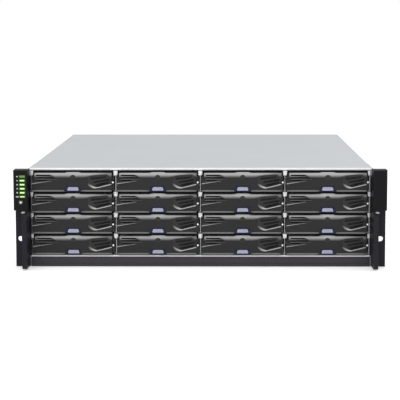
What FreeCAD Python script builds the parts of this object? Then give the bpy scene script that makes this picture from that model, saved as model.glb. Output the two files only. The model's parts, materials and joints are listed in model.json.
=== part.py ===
"""Disk shelf enclosure, 3 rack units high, with sixteen 3.5 inch drive trays in four columns and four rows.

Units are millimetres. +Z is up, +X is to the right of someone facing the trays, and the trays face -Y.
The origin is the middle of the underside of the chassis pan. Distances along Y are counted backwards
from the front edge of the chassis, which is also the plane that bears on the rack's uprights.

Every driving size is a named cell of the sheet "Sizes". The outlines and places below are expressions
of those names, so a change of one cell carries through to whatever fits in it or seats on it.
"""

import FreeCAD, Part

import math
import os
import re

import Sketcher

SHEET = "Sizes"
COLUMNS = 4
ROWS = 4
LENSES = 6
ROUND_SIDES = 8  # flats on the small round pieces that repeat, which keeps the whole model light
LIP_FACETS = 3  # facets along the curved stretch of the scoop's lip
LOUVRES = 4
GROOVES = 3
PORTS = 4
CANISTER_VENTS = 12
HALF_TURN = 1.000001  # a half circle given this much more radius keeps one solution in its sketch

SIZES = {
    # chassis
    "panel_width": 482.6,
    "ear_width": 18.3,
    "chassis_height": 130,
    "chassis_depth": 500,
    "sheet_wall": 1.2,
    "cover_wall": 1.2,
    "cover_hem": 3.2,
    "cover_lip": 9,
    "cover_lip_inset": 7,
    "slide_fit": 0.3,
    # drive bays
    "cage_side": 1,
    "bay_floor": 15.4,
    "bay_headroom": 3,
    "floor_edge": 2,
    "divider_front": 3,
    "divider_wall": 1.2,
    "ledge_wall": 1.2,
    "ledge_width": 2.8,
    "tab_width": 5.4,
    "tab_height": 6.2,
    "tab_rise": 0.4,
    "tab_proud": 1,
    "tab_bevel": 1.2,
    "tab_fit": 0.1,
    "ledge_start": 9,
    "ledge_stop": 3,
    # front sill and its fold
    "sill_height": 13.2,
    "sill_proud": 3,
    "sill_wall": 1.5,
    "sill_return": 9,
    "sill_groove": 0.6,
    "sill_groove_low": 4.2,
    "sill_groove_high": 5.2,
    # hard disk, form factor 3.5 inch
    "disk_side": 4.4,
    "disk_length": 147,
    "disk_lift": 0.75,
    "disk_front": 10,
    "disk_lid": 1.4,
    "disk_rim": 3,
    # tray frame
    "rail_wall": 2.2,
    "rail_lift": 1.5,
    "rail_headroom": 8,
    "rail_tail": 12,
    "plate_front": 4.5,
    "plate_wall": 2.4,
    "plate_bar": 7,
    "window_low": 6,
    "window_bar": 2.6,
    # flap, counted from its lower left front corner
    "flap_margin": 1.3,
    "flap_end": 4.6,
    "flap_proud": 7,
    "flap_lift": 1.1,
    "flap_headroom": 3,
    "flap_skin": 3.5,
    "flap_thick": 9,
    "flap_wall": 1.6,
    "crown_rise": 0.9,
    "crown_half": 7,
    "crown_ramp": 4,
    "bevel_height": 4.4,
    "bevel_depth": 3,
    "notch_width": 3.4,
    "notch_height": 5.2,
    "lip_height": 0.9,
    "lip_depth": 0.7,
    "lip_start": 1.6,
    # flap hinge
    "hinge_side": 5.5,
    "hinge_back": 6,
    "pin_radius": 1,
    "pin_fit": 0.06,
    "knuckle_half": 2.3,
    "knuckle_low": 6,
    "knuckle_drop": 7.6,
    "lug_half": 1.6,
    "lug_tip": 1.5,
    "lug_wall": 2.6,
    "lug_gap": 0.4,
    # scoop and louvres of the flap
    "scoop_end": 1.3,
    "scoop_length": 29.9,
    "scoop_bowl": 11.9,
    "scoop_lip_left": 10.3,
    "scoop_lip_low": 4.2,
    "scoop_lip_right": 9.6,
    "scoop_roof_drop": 2,
    "scoop_roof_fall": 3.2,
    "scoop_depth": 2,
    "scoop_taper": 38,
    "louvre_start": 1,
    "louvre_end": 1.8,
    "louvre_low_left": 7.4,
    "louvre_low_right": 12,
    "louvre_back": 3.2,
    "louvre_top_left": 2.4,
    "louvre_top_right": 2.35,
    "louvre_rib": 1.05,
    # wing recess and grooves at the hinge end
    "wing_length": 30,
    "wing_depth": 1,
    "wing_low": 9.6,
    "wing_height": 8.6,
    "wing_angle": 9,
    "groove_start": 4.2,
    "groove_high": 0.9,
    "groove_depth": 2,
    "groove_drop": 4.9,
    "groove_step": 2.1,
    "groove_long": 24,
    "groove_shrink": 9.6,
    # release button
    "button_half": 7.7,
    "button_half_top": 6.4,
    "button_low": 1,
    "button_high": 6.2,
    "button_corner": 1.3,
    "button_fit": 0.35,
    "button_flange": 1.4,
    "button_flange_wall": 1.2,
    "button_proud": 0.5,
    "dish_half": 11,
    "dish_half_top": 9.4,
    "dish_high": 8,
    "dish_depth": 1.2,
    # bay lock and light pipe
    "lock_radius": 3.5,
    "lock_fit": 0.1,
    "lock_drop": 4.6,
    "lock_depth": 2.6,
    "lock_inset": 0.5,
    "pipe_radius": 1,
    "pipe_high": 12.4,
    "pipe_tip": 0.6,
    # midplane
    "plug_depth": 14,
    "midplane_wall": 2.4,
    "midplane_low": 10.5,
    "plug_width": 34,
    "plug_height": 6,
    "plug_low": 4,
    "air_slot": 40,
    "air_slot_height": 9,
    # rack ears
    "ear_low": 0.6,
    "ear_top_gap": 0.9,
    "flange_wall": 2,
    "side_leg_wall": 1.5,
    "side_leg": 60,
    "cover_plate": 2,
    "housing_drop": 53.4,
    "housing_depth": 18,
    "housing_edge": 1.6,
    "grip_out": 6.2,
    "grip_depth": 30,
    "grip_low": 1.6,
    "grip_edge": 1.8,
    "grip_slope": 11,
    "rack_hole_inset": 8.75,
    "rack_hole_high": 37,
    "rack_hole_half": 3.5,
    "rack_hole_length": 12,
    "head_radius": 5.8,
    "head_depth": 8,
    # status panel on the left ear
    "lens_width": 7,
    "lens_height": 2.6,
    "lens_pitch": 5.26,
    "lens_drop": 9.1,
    "lens_inset": 11.8,
    "lens_proud": 0.2,
    "lens_depth": 4,
    "mute_inset": 9.7,
    "mute_drop": 42.7,
    "mute_radius": 3,
    "mute_fit": 0.3,
    "mute_depth": 5,
    "mute_proud": 0.8,
    "mute_stroke": 1.2,
    # rear modules
    "module_gap": 13,
    "module_fit": 0.5,
    "module_plate": 1.6,
    "module_lap": 1.6,
    "power_side": 3,
    "power_width": 88,
    "bay_gap": 7,
    "bay_wall_gap": 3,
    "power_low": 4,
    "power_headroom": 7,
    "control_low": 4,
    "control_headroom": 4,
    "shelf_rise": 1,
    "handle_span": 60,
    "handle_out": 24,
    "handle_bar": 6,
    "handle_side": 26,
    "screw_radius": 4,
    "screw_out": 9,
    "inlet_width": 27,
    "inlet_height": 20,
    "inlet_depth": 15,
    "inlet_low": 12,
    "blade_pitch": 7,
    "blade_width": 2,
    "blade_height": 4,
    "blade_length": 9,
    "blade_low": 6,
    "earth_rise": 4,
    "fan_hole_pitch": 13.5,
    "fan_hole_radius": 6.3,
    "vent_depth": 2,
    "vent_pitch": 13.5,
    "vent_width": 9,
    "port_width": 16,
    "port_height": 11,
    "port_depth": 14,
    "port_low": 14,
}

# Sizes that follow from the ones above. An expression can use them by name like any other size.
TIES = {
    "chassis_width": "panel_width - 2 * ear_width",
    "column_pitch": "(chassis_width / 2 - sheet_wall - cage_side) / 2",
    "row_pitch": "(chassis_height - cover_wall - bay_headroom - bay_floor) / 4",
    "disk_width": "column_pitch - 2 * disk_side",
    "disk_height": "row_pitch - 2 * disk_lift",
    "midplane_front": "disk_front + disk_length + plug_depth",
    "module_front": "midplane_front + module_gap",
    "rail_height": "row_pitch - rail_headroom",
    "window_high": "rail_height - window_bar",
    "flap_width": "column_pitch - flap_margin - flap_end",
    "flap_height": "row_pitch - flap_headroom",
    "knuckle_high": "flap_height - knuckle_drop",
    "lock_high": "flap_height - lock_drop",
    "groove_top": "flap_height - groove_drop",
    "scoop_right": "flap_width - scoop_end",
    "scoop_left": "scoop_right - scoop_length",
    "scoop_valley": "scoop_left + scoop_bowl",
    "scoop_roof_right": "flap_height - scoop_roof_drop",
    "scoop_roof_left": "scoop_roof_right - scoop_roof_fall",
    "louvre_left": "scoop_valley + louvre_start",
    "louvre_right": "scoop_right - louvre_end",
    "louvre_rise_left": "(scoop_roof_left - louvre_top_left - louvre_low_left) / 3",
    "louvre_rise_right": "(scoop_roof_right - louvre_top_right - louvre_low_right) / 3",
    "louvre_high": "louvre_rise_right - louvre_rib",
    "ear_height": "chassis_height - ear_low - ear_top_gap",
    "housing_low": "chassis_height - housing_drop",
    "rack_hole_spacing": "panel_width - 2 * rack_hole_inset",
    "lens_top": "chassis_height - lens_drop",
    "lens_side": "panel_width / 2 - lens_inset",
    "mute_side": "panel_width / 2 - mute_inset",
    "mute_high": "chassis_height - mute_drop",
    "power_high": "chassis_height - power_headroom",
    "shelf_high": "chassis_height / 2 + shelf_rise",
    "control_high": "shelf_high - control_headroom",
}

# Places that several pieces share, each worked out from the sizes above.
CENTRE = "(column_pitch / 2 - flap_margin)"
FRONT = "(-chassis_depth / 2)"
BACK = "(chassis_depth / 2)"
INNER = "(chassis_width / 2 - sheet_wall)"
ROOF = "(chassis_height - cover_wall)"
CONTROL = "(chassis_width / 2 - sheet_wall - power_side - power_width - bay_gap)"
POWER_OUT = "(chassis_width / 2 - sheet_wall - power_side)"
POWER_IN = "(chassis_width / 2 - sheet_wall - power_side - power_width)"
EAR_OUT = "(panel_width / 2)"
EAR_IN = "(chassis_width / 2)"

NORMAL_SIGN = {"XY_Plane": 1, "XZ_Plane": -1, "YZ_Plane": 1}

doc = FreeCAD.newDocument("disk_shelf_enclosure")
sheet = doc.addObject("Spreadsheet::Sheet", SHEET)
nodes = []


def fill_sheet():
    """Write each size into its own row of the sheet and give the cell its alias."""
    for row, (alias, size) in enumerate(SIZES.items(), start=1):
        sheet.set("A%d" % row, alias)
        sheet.set("B%d" % row, str(size))
        sheet.setAlias("B%d" % row, alias)
    doc.recompute()


def bind(text):
    """Point each size named in an expression at its cell of the sheet, and work out each tie."""

    def cell(match):
        word = match.group()
        if word in TIES:
            return "(" + bind(TIES[word]) + ")"
        return SHEET + "." + word if word in SIZES else word

    return re.sub(r"[a-z_]+", cell, str(text))


def value(item, text):
    """Work an expression out to a plain number."""
    found = item.evalExpression(bind(text))
    return float(getattr(found, "Value", found))


def place(item, spot):
    """Bind an object's position to the three expressions of spot."""
    for axis, text in zip("xyz", spot):
        item.setExpression("Placement.Base." + axis, bind(text))
    return item


# ---- Part primitives, groups and booleans ----


def box(name, low, size):
    """A block from its low corner, along X, Y and Z."""
    item = doc.addObject("Part::Box", name)
    for side, text in zip(("Length", "Width", "Height"), size):
        item.setExpression(side, bind(text))
    return place(item, low)


def span(name, low, high):
    """A block between two opposite corners."""
    size = ["(%s) - (%s)" % (far, near) for near, far in zip(low, high)]
    return box(name, low, size)


def prism(name, spot, sides, radius, height, upright=False):
    """A regular prism that runs backwards, along +Y, from spot, or upwards if upright is set."""
    item = doc.addObject("Part::Prism", name)
    if not upright:
        item.Placement.Rotation = FreeCAD.Rotation(FreeCAD.Vector(1, 0, 0), -90)
    item.Polygon = sides
    item.setExpression("Circumradius", bind(radius))
    item.setExpression("Height", bind(height))
    return place(item, spot)


def round_bar(name, spot, radius, height):
    """A cylinder that runs backwards, along +Y, from spot."""
    item = doc.addObject("Part::Cylinder", name)
    item.Placement.Rotation = FreeCAD.Rotation(FreeCAD.Vector(1, 0, 0), -90)
    item.setExpression("Radius", bind(radius))
    item.setExpression("Height", bind(height))
    return place(item, spot)


def cut(name, base, tools):
    """Take the tools away from the base."""
    item = doc.addObject("Part::Cut", name)
    item.Base = base
    item.Tool = tools[0] if len(tools) == 1 else group(name + "_tools", tools)
    return item


def fuse(name, pieces):
    """Join pieces that are made as one."""
    item = doc.addObject("Part::MultiFuse", name)
    item.Shapes = pieces
    item.Refine = True
    return item


def group(name, pieces, spot=("0", "0", "0")):
    """Hold separate solids together as one sub-part, moved to spot."""
    item = doc.addObject("Part::Compound", name)
    item.Links = pieces
    return place(item, spot)


# ---- PartDesign bodies ----


def new_body(name):
    """Start an empty body."""
    return doc.addObject("PartDesign::Body", name)


def sketch_on(body, plane, name, offset="0", tilt=None):
    """Start a sketch on one of the body's own origin planes, moved along the positive axis by offset."""
    sketch = body.newObject("Sketcher::SketchObject", name)
    support = [item for item in body.Origin.OriginFeatures if item.Role == plane][0]
    sketch.AttachmentSupport = [(support, "")]
    sketch.MapMode = "FlatFace"
    if tilt:
        turn = FreeCAD.Rotation(FreeCAD.Vector(0, 1, 0), -1)
        sketch.AttachmentOffset = FreeCAD.Placement(FreeCAD.Vector(), turn)
        sketch.setExpression("AttachmentOffset.Rotation.Angle", bind(tilt))
    sketch.setExpression("AttachmentOffset.Base.z", bind("%d * (%s)" % (NORMAL_SIGN[plane], offset)))
    return sketch


def arc_through(start, end, radius):
    """The arc from start to end that bulges to the right of the way from start to end."""
    chord = end - start
    half = chord.Length / 2
    sagitta = radius - math.sqrt(radius * radius - half * half)
    side = FreeCAD.Vector(chord.y, -chord.x, 0).normalize()
    middle = (start + end) * 0.5 + side * sagitta
    return Part.Arc(start, middle, end)


def pin_point(sketch, geometry, end, spot):
    """Hold one point of a sketch at two expressions, counted from the sketch's origin."""
    for kind, text in zip(("DistanceX", "DistanceY"), spot):
        rule = Sketcher.Constraint(kind, -1, 1, geometry, end, value(sketch, text))
        number = sketch.addConstraint(rule)
        sketch.setExpression("Constraints[%d]" % number, bind(text))


def outline(sketch, corners, arcs=None):
    """Draw a closed outline. arcs gives the radius of each side, by its number, that is an arc."""
    arcs = arcs or {}
    spots = [FreeCAD.Vector(value(sketch, x), value(sketch, y), 0) for x, y in corners]
    first = sketch.GeometryCount
    ends = []
    for number, start in enumerate(spots):
        end = spots[(number + 1) % len(spots)]
        if number in arcs:
            sketch.addGeometry(arc_through(start, end, value(sketch, arcs[number])))
            turned = sketch.getPoint(first + number, 1).distanceToPoint(start) > 1e-6
            ends.append((2, 1) if turned else (1, 2))
        else:
            sketch.addGeometry(Part.LineSegment(start, end))
            ends.append((1, 2))
    for number, corner in enumerate(corners):
        following = (number + 1) % len(corners)
        meet = (first + number, ends[number][1], first + following, ends[following][0])
        sketch.addConstraint(Sketcher.Constraint("Coincident", *meet))
        pin_point(sketch, first + number, ends[number][0], corner)
    for number, radius in arcs.items():
        rule = Sketcher.Constraint("Radius", first + number, value(sketch, radius))
        sketch.setExpression("Constraints[%d]" % sketch.addConstraint(rule), bind(radius))


def rectangle(sketch, low, high):
    """Draw a closed rectangle between two opposite corners."""
    outline(sketch, [low, (high[0], low[1]), high, (low[0], high[1])])


def circle(sketch, spot, radius):
    """Draw a circle about spot."""
    centre = FreeCAD.Vector(value(sketch, spot[0]), value(sketch, spot[1]), 0)
    number = sketch.addGeometry(Part.Circle(centre, FreeCAD.Vector(0, 0, 1), value(sketch, radius)))
    pin_point(sketch, number, 3, spot)
    rule = Sketcher.Constraint("Radius", number, value(sketch, radius))
    sketch.setExpression("Constraints[%d]" % sketch.addConstraint(rule), bind(radius))


def many_sided(sketch, spot, radius):
    """Draw a closed outline of ROUND_SIDES equal sides, with its corners at radius from spot."""
    corners = []
    for step in range(ROUND_SIDES):
        angle = 360 / ROUND_SIDES * step
        across = "%s + (%s) * cos(%g)" % (spot[0], radius, angle)
        corners.append((across, "%s + (%s) * sin(%g)" % (spot[1], radius, angle)))
    outline(sketch, corners)


def pad(body, sketch, length):
    """Raise a sketch towards the positive axis of its plane."""
    item = body.newObject("PartDesign::Pad", sketch.Name + "_pad")
    item.Profile = sketch
    item.setExpression("Length", bind(length))
    item.Reversed = NORMAL_SIGN[sketch.AttachmentSupport[0][0].Role] < 0
    return item


def pocket(body, sketch, length, taper=None):
    """Cut a sketch away towards the positive axis of its plane."""
    item = body.newObject("PartDesign::Pocket", sketch.Name + "_pocket")
    item.Profile = sketch
    item.setExpression("Length", bind(length))
    item.Reversed = NORMAL_SIGN[sketch.AttachmentSupport[0][0].Role] > 0
    if taper:
        item.setExpression("TaperAngle", bind(taper))
    return item


def node(item, label):
    """Name a finished sub-part, which is written to a file of that name."""
    item.Label = label
    nodes.append(item)
    return item


# ---- Chassis ----


def rear_plate(name, low_x, high_x, low_z, high_z):
    """A plate on the rear wall that overlaps the edges of the opening it closes."""
    lap = " - module_fit - module_lap"
    rim = " + module_fit + module_lap"
    outside = BACK + " + module_plate"
    return span(name, (low_x + lap, BACK, low_z + lap), (high_x + rim, outside, high_z + rim))


def make_chassis_pan():
    """The pan: floor, side walls and rear wall in one folded sheet, with welded walls for the rear bays."""
    outer = span("pan_outer", ("-chassis_width / 2", FRONT, "0"), ("chassis_width / 2", BACK, ROOF))
    hollow = span(
        "pan_hollow",
        ("-" + INNER, FRONT + " - sheet_wall", "sheet_wall"),
        (INNER, BACK + " - sheet_wall", "chassis_height"),
    )
    shell = cut("pan_shell", outer, [hollow])
    bay_front = FRONT + " + module_front"
    bay_back = BACK + " - sheet_wall"
    wall_in = "(%s + bay_wall_gap)" % CONTROL
    shelf_top = "shelf_high + sheet_wall"
    welds = [span("bay_shelf", ("-" + wall_in, bay_front, "shelf_high"), (wall_in, bay_back, shelf_top))]
    for side, low_x, high_x in (
        ("left", "-%s - sheet_wall" % wall_in, "-" + wall_in),
        ("right", wall_in, wall_in + " + sheet_wall"),
    ):
        welds.append(span(side + "_bay_wall", (low_x, bay_front, "sheet_wall"), (high_x, bay_back, ROOF)))
    openings = []
    for name, low_x, high_x, low_z, high_z in (
        ("left_power", "-" + POWER_OUT, "-" + POWER_IN, "power_low", "power_high"),
        ("right_power", POWER_IN, POWER_OUT, "power_low", "power_high"),
        ("control", "-" + CONTROL, CONTROL, "control_low", "control_high"),
        ("upper", "-" + CONTROL, CONTROL, "shelf_high + bay_gap", "power_high"),
    ):
        low = (low_x + " - module_fit", BACK + " - 2 * sheet_wall", low_z + " - module_fit")
        high = (high_x + " + module_fit", BACK + " + sheet_wall", high_z + " + module_fit")
        openings.append(span(name + "_opening", low, high))
    welded = fuse("pan_welded", [shell] + welds)
    pan = cut("pan_open", welded, openings)
    blank = rear_plate("slot_blank", "-" + CONTROL, CONTROL, "shelf_high + bay_gap", "power_high")
    return node(group("chassis_pan", [pan, blank]), "chassis_pan")


def make_top_cover():
    """The lid: a flat sheet with a folded hem over the bays and two lips inside the side walls."""
    body = new_body("top_cover")
    plate = sketch_on(body, "XY_Plane", "lid_plate", ROOF)
    rectangle(plate, ("-chassis_width / 2", FRONT), ("chassis_width / 2", BACK))
    pad(body, plate, "cover_wall")
    hem = sketch_on(body, "XY_Plane", "lid_hem", "chassis_height - cover_hem")
    rectangle(hem, ("-" + INNER, FRONT), (INNER, FRONT + " + cover_wall"))
    pad(body, hem, "cover_hem - cover_wall")
    lips = sketch_on(body, "XY_Plane", "lid_lips", ROOF + " - cover_lip")
    lip_front = FRONT + " + midplane_front + midplane_wall + cover_lip_inset"
    lip_back = BACK + " - sheet_wall - cover_lip_inset"
    rectangle(lips, ("-" + INNER, lip_front), ("-%s + cover_wall" % INNER, lip_back))
    rectangle(lips, (INNER + " - cover_wall", lip_front), (INNER, lip_back))
    pad(body, lips, "cover_lip")
    return node(body, "top_cover")


def make_front_sill():
    """The painted strip under the bays: a channel that closes the gap over the pan's floor."""
    body = new_body("front_sill")
    profile = sketch_on(body, "YZ_Plane", "sill_profile", "-%s + slide_fit" % INNER)
    face = FRONT + " - sill_proud"
    inside = face + " + sill_wall"
    rim = face + " + sill_return"
    groove = face + " + sill_groove"
    outline(
        profile,
        [
            (face, "slide_fit"),
            (inside, "slide_fit"),
            (inside, "sheet_wall"),
            (rim, "sheet_wall"),
            (rim, "sheet_wall + sill_wall"),
            (inside, "sheet_wall + sill_wall"),
            (inside, "sill_height - sill_wall"),
            (rim, "sill_height - sill_wall"),
            (rim, "sill_height"),
            (face, "sill_height"),
            (face, "sill_groove_high"),
            (groove, "sill_groove_high"),
            (groove, "sill_groove_low"),
            (face, "sill_groove_low"),
        ],
    )
    pad(body, profile, "2 * %s - 2 * slide_fit" % INNER)
    return node(body, "front_sill")


# ---- Drive bays ----


def make_divider(name, left, right, tab_left):
    """A bay wall about X = 0 with ledges on the sides asked for and a catch tab at the front of each row."""
    body = new_body(name)
    plate = sketch_on(body, "XZ_Plane", name + "_plate", FRONT + " + divider_front")
    rectangle(plate, ("-divider_wall / 2", "bay_floor"), ("divider_wall / 2", ROOF))
    pad(body, plate, "midplane_front - divider_front")
    ledges = sketch_on(body, "XZ_Plane", name + "_ledges", FRONT + " + ledge_start")
    tabs = sketch_on(body, "XZ_Plane", name + "_tabs", FRONT + " - tab_proud")
    for row in range(ROWS):
        low = "bay_floor + %d * row_pitch" % row
        if left:
            rectangle(ledges, ("-ledge_width", low), ("-divider_wall / 2", low + " + ledge_wall"))
        if right:
            rectangle(ledges, ("divider_wall / 2", low), ("ledge_width", low + " + ledge_wall"))
        top = "bay_floor + %d * row_pitch + tab_rise" % (row + 1)
        outline(
            tabs,
            [
                ("-(%s) + tab_bevel / 2" % tab_left, top + " - tab_height"),
                ("tab_width / 2 - tab_bevel", top + " - tab_height"),
                ("tab_width / 2", top + " - tab_height + tab_bevel"),
                ("tab_width / 2", top),
                ("-(%s)" % tab_left, top),
                ("-(%s)" % tab_left, top + " - tab_height + tab_bevel"),
            ],
        )
    pad(body, ledges, "midplane_front - ledge_start - ledge_stop")
    pad(body, tabs, "divider_front + tab_proud")
    return body


def make_bay_partitions():
    """The bay cage: three dividers, a liner at each side wall and the floor under the lowest row."""
    middle = make_divider("divider", True, True, "tab_width / 2")
    edge = "chassis_width / 2 - sheet_wall - 2 * column_pitch - tab_fit"
    left_liner = make_divider("left_liner", False, True, edge)
    right_liner = doc.addObject("Part::Mirroring", "right_liner")
    right_liner.Source = left_liner
    right_liner.Normal = FreeCAD.Vector(1, 0, 0)
    walls = []
    for step in (-1, 0, 1):
        walls.append(group("divider_%d" % step, [middle], ("%d * column_pitch" % step, "0", "0")))
    walls.append(group("left_wall_liner", [left_liner], ("-2 * column_pitch", "0", "0")))
    walls.append(group("right_wall_liner", [right_liner], ("2 * column_pitch", "0", "0")))
    floor = new_body("bay_floor_plate")
    profile = sketch_on(floor, "YZ_Plane", "floor_profile", "-" + INNER)
    outline(
        profile,
        [
            (FRONT, "bay_floor - floor_edge"),
            (FRONT + " + sheet_wall", "bay_floor - floor_edge"),
            (FRONT + " + sheet_wall", "bay_floor - sheet_wall"),
            (FRONT + " + midplane_front", "bay_floor - sheet_wall"),
            (FRONT + " + midplane_front", "bay_floor"),
            (FRONT, "bay_floor"),
        ],
    )
    pad(floor, profile, "2 * " + INNER)
    return node(group("bay_partitions", walls + [floor]), "bay_partitions")


def make_midplane_board():
    """The board behind the bays: air slots and one drive connector for each tray."""
    body = new_body("midplane_plate")
    plate = sketch_on(body, "XZ_Plane", "midplane_outline", FRONT + " + midplane_front")
    side = INNER + " - slide_fit"
    rectangle(plate, ("-(%s)" % side, "midplane_low"), (side, ROOF + " - slide_fit"))
    pad(body, plate, "midplane_wall")
    slots = sketch_on(body, "XZ_Plane", "air_slots", FRONT + " + midplane_front")
    plug_tip = FRONT + " + disk_front + disk_length + module_fit"
    plugs = []
    for row in range(ROWS):
        for column in range(COLUMNS):
            middle = "(%.1f * column_pitch)" % (column - (COLUMNS - 1) / 2)
            plug_foot = "bay_floor + %d * row_pitch + plug_low" % row
            slot_low = plug_foot + " + 2 * plug_height"
            rectangle(
                slots,
                (middle + " - air_slot / 2", slot_low),
                (middle + " + air_slot / 2", slot_low + " + air_slot_height"),
            )
            plugs.append(
                span(
                    "plug_%d_%d" % (row, column),
                    (middle + " - plug_width / 2", plug_tip, plug_foot),
                    (middle + " + plug_width / 2", FRONT + " + midplane_front", plug_foot + " + plug_height"),
                )
            )
    pocket(body, slots, "midplane_wall")
    return node(group("midplane_board", [body] + plugs), "midplane_board")


# ---- Drive tray: frame, hard disk, light pipe and hinge pin, about the left front foot of its bay ----


def make_tray_frame():
    """The tray's frame: front plate with two windows, two rails and the lugs that hold the hinge pin."""
    body = new_body("tray_frame")
    left = "(column_pitch / 2 - disk_width / 2 - rail_wall)"
    right = "(column_pitch / 2 + disk_width / 2 + rail_wall)"
    tail = "(midplane_front - rail_tail)"
    plan = sketch_on(body, "XY_Plane", "tray_plan", "rail_lift")
    outline(
        plan,
        [
            (left, "plate_front"),
            (right, "plate_front"),
            (right, tail),
            (right + " - rail_wall", tail),
            (right + " - rail_wall", "plate_front + plate_wall"),
            (left + " + rail_wall", "plate_front + plate_wall"),
            (left + " + rail_wall", tail),
            (left, tail),
        ],
    )
    pad(body, plan, "rail_height")
    windows = sketch_on(body, "XZ_Plane", "tray_windows", "plate_front")
    for low_x, high_x in (
        (left + " + 2 * plate_bar", "column_pitch / 2 - plate_bar / 2"),
        ("column_pitch / 2 + plate_bar / 2", right + " - 2 * plate_bar"),
    ):
        rectangle(windows, (low_x, "window_low"), (high_x, "window_high"))
    pocket(body, windows, "plate_wall")
    axis_x = "(flap_margin + hinge_side)"
    lug_front = "hinge_back - flap_proud - lug_tip"
    for name, low in (
        ("low_lug", "flap_lift + knuckle_low - lug_gap - lug_wall"),
        ("high_lug", "flap_lift + knuckle_high + lug_gap"),
    ):
        lug = sketch_on(body, "XY_Plane", name, low)
        rectangle(lug, (axis_x + " - lug_half", lug_front), (axis_x + " + lug_half", "plate_front"))
        pad(body, lug, "lug_wall")
    return body


def make_hard_disk():
    """A 3.5 inch hard disk: the casting, with the lid standing a little inside its rim."""
    left = "column_pitch / 2 - disk_width / 2"
    casting_size = ("disk_width", "disk_length", "disk_height - disk_lid")
    casting = box("disk_casting", (left, "disk_front", "disk_lift"), casting_size)
    lid = box(
        "disk_lid_plate",
        (left + " + disk_rim", "disk_front + disk_rim", "disk_lift + disk_height - disk_lid"),
        ("disk_width - 2 * disk_rim", "disk_length - 4 * disk_rim", "disk_lid"),
    )
    return fuse("hard_disk", [casting, lid])


def make_light_pipe():
    """The clear pipe that brings the tray's light to the front, beside the free end of the flap."""
    across = "column_pitch / 2 + disk_width / 2 + rail_wall - pipe_radius"
    spot = (across, "pipe_tip - flap_proud", "pipe_high")
    return prism("light_pipe", spot, 6, "pipe_radius", "plate_front + flap_proud - pipe_tip")


def make_hinge_pin():
    """The steel pin of the flap's hinge, from one lug of the tray to the other."""
    spot = ("flap_margin + hinge_side", "hinge_back - flap_proud", "flap_lift + knuckle_low - lug_gap")
    height = "knuckle_high - knuckle_low + 2 * lug_gap"
    return prism("hinge_pin", spot, ROUND_SIDES, "pin_radius", height, upright=True)


# ---- Moulded flap of the tray, about its own lower left front corner ----


def add_flap_skin(body):
    """Front skin with the tab notch and the crown over the lock, then the long bevel along its top."""
    skin = sketch_on(body, "XZ_Plane", "flap_outline")
    outline(
        skin,
        [
            ("0", "0"),
            ("flap_width", "0"),
            ("flap_width", "flap_height"),
            (CENTRE + " + crown_half + crown_ramp", "flap_height"),
            (CENTRE + " + crown_half", "flap_height + crown_rise"),
            (CENTRE + " - crown_half", "flap_height + crown_rise"),
            (CENTRE + " - crown_half - crown_ramp", "flap_height"),
            ("notch_width", "flap_height"),
            ("notch_width", "flap_height - notch_height"),
            ("0", "flap_height - notch_height"),
        ],
    )
    pad(body, skin, "flap_skin")
    rim = sketch_on(body, "XZ_Plane", "flap_rim", "flap_skin")
    left = "(hinge_side + knuckle_half + flap_wall)"
    rectangle(rim, (left, "flap_wall / 4"), ("flap_width", "flap_height"))
    hollow_end = ("scoop_left - 2 * flap_wall", "flap_height - 2 * flap_wall")
    rectangle(rim, (left + " + flap_wall", "2 * flap_wall"), hollow_end)
    pad(body, rim, "flap_thick - flap_skin")
    bevel = sketch_on(body, "YZ_Plane", "flap_bevel", "-flap_wall")
    outline(
        bevel,
        [
            ("0", "flap_height - bevel_height"),
            ("bevel_depth", "flap_height + crown_rise"),
            ("bevel_depth", "flap_height + 2 * crown_rise"),
            ("-lip_depth", "flap_height + 2 * crown_rise"),
            ("-lip_depth", "flap_height - bevel_height"),
        ],
    )
    pocket(body, bevel, "flap_width + 2 * flap_wall")


def add_flap_hinge(body):
    """The hook behind the skin's left end: two flat jaws that snap over the hinge pin from the front."""
    hook = sketch_on(body, "XY_Plane", "hinge_hook", "knuckle_low")
    jaw = "pin_radius + pin_fit"
    outline(
        hook,
        [
            ("hinge_side - knuckle_half", "flap_skin"),
            ("hinge_side + knuckle_half", "flap_skin"),
            ("hinge_side + knuckle_half", "hinge_back + knuckle_half / 2"),
            ("hinge_side + " + jaw, "hinge_back + knuckle_half / 2"),
            ("hinge_side + " + jaw, "hinge_back - pin_radius - pin_fit"),
            ("hinge_side - pin_radius - pin_fit", "hinge_back - pin_radius - pin_fit"),
            ("hinge_side - pin_radius - pin_fit", "hinge_back + knuckle_half / 2"),
            ("hinge_side - knuckle_half", "hinge_back + knuckle_half / 2"),
        ],
    )
    pad(body, hook, "knuckle_high - knuckle_low")


def add_flap_scoop(body):
    """The finger scoop at the free end: a dish with sloping sides, and a fan of louvres through its floor.

    The dish's lip is a quarter of an ellipse down to its lowest place, and a straight rise from there.
    """
    dish = sketch_on(body, "XZ_Plane", "scoop_dish")
    corners = []
    for step in range(LIP_FACETS + 1):
        angle = 90 / LIP_FACETS * step
        across = "scoop_valley - (scoop_valley - scoop_left) * cos(%g)" % angle
        corners.append((across, "scoop_lip_low + (scoop_lip_left - scoop_lip_low) * (1 - sin(%g))" % angle))
    corners.append(("scoop_right", "scoop_lip_right"))
    corners.append(("scoop_right", "scoop_roof_right"))
    corners.append(("scoop_left", "scoop_roof_left"))
    outline(dish, corners)
    pocket(body, dish, "scoop_depth", "scoop_taper")
    louvres = sketch_on(body, "XZ_Plane", "scoop_louvres")
    for step in range(LOUVRES):
        left = "louvre_left - %d * louvre_back" % step
        low_left = "louvre_low_left + %d * louvre_rise_left" % step
        low_right = "louvre_low_right + %d * louvre_rise_right" % step
        outline(
            louvres,
            [
                (left, low_left),
                ("louvre_right", low_right),
                ("louvre_right", low_right + " + louvre_high"),
                (left, low_left + " + louvre_high"),
            ],
        )
    pocket(body, louvres, "flap_thick")


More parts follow.
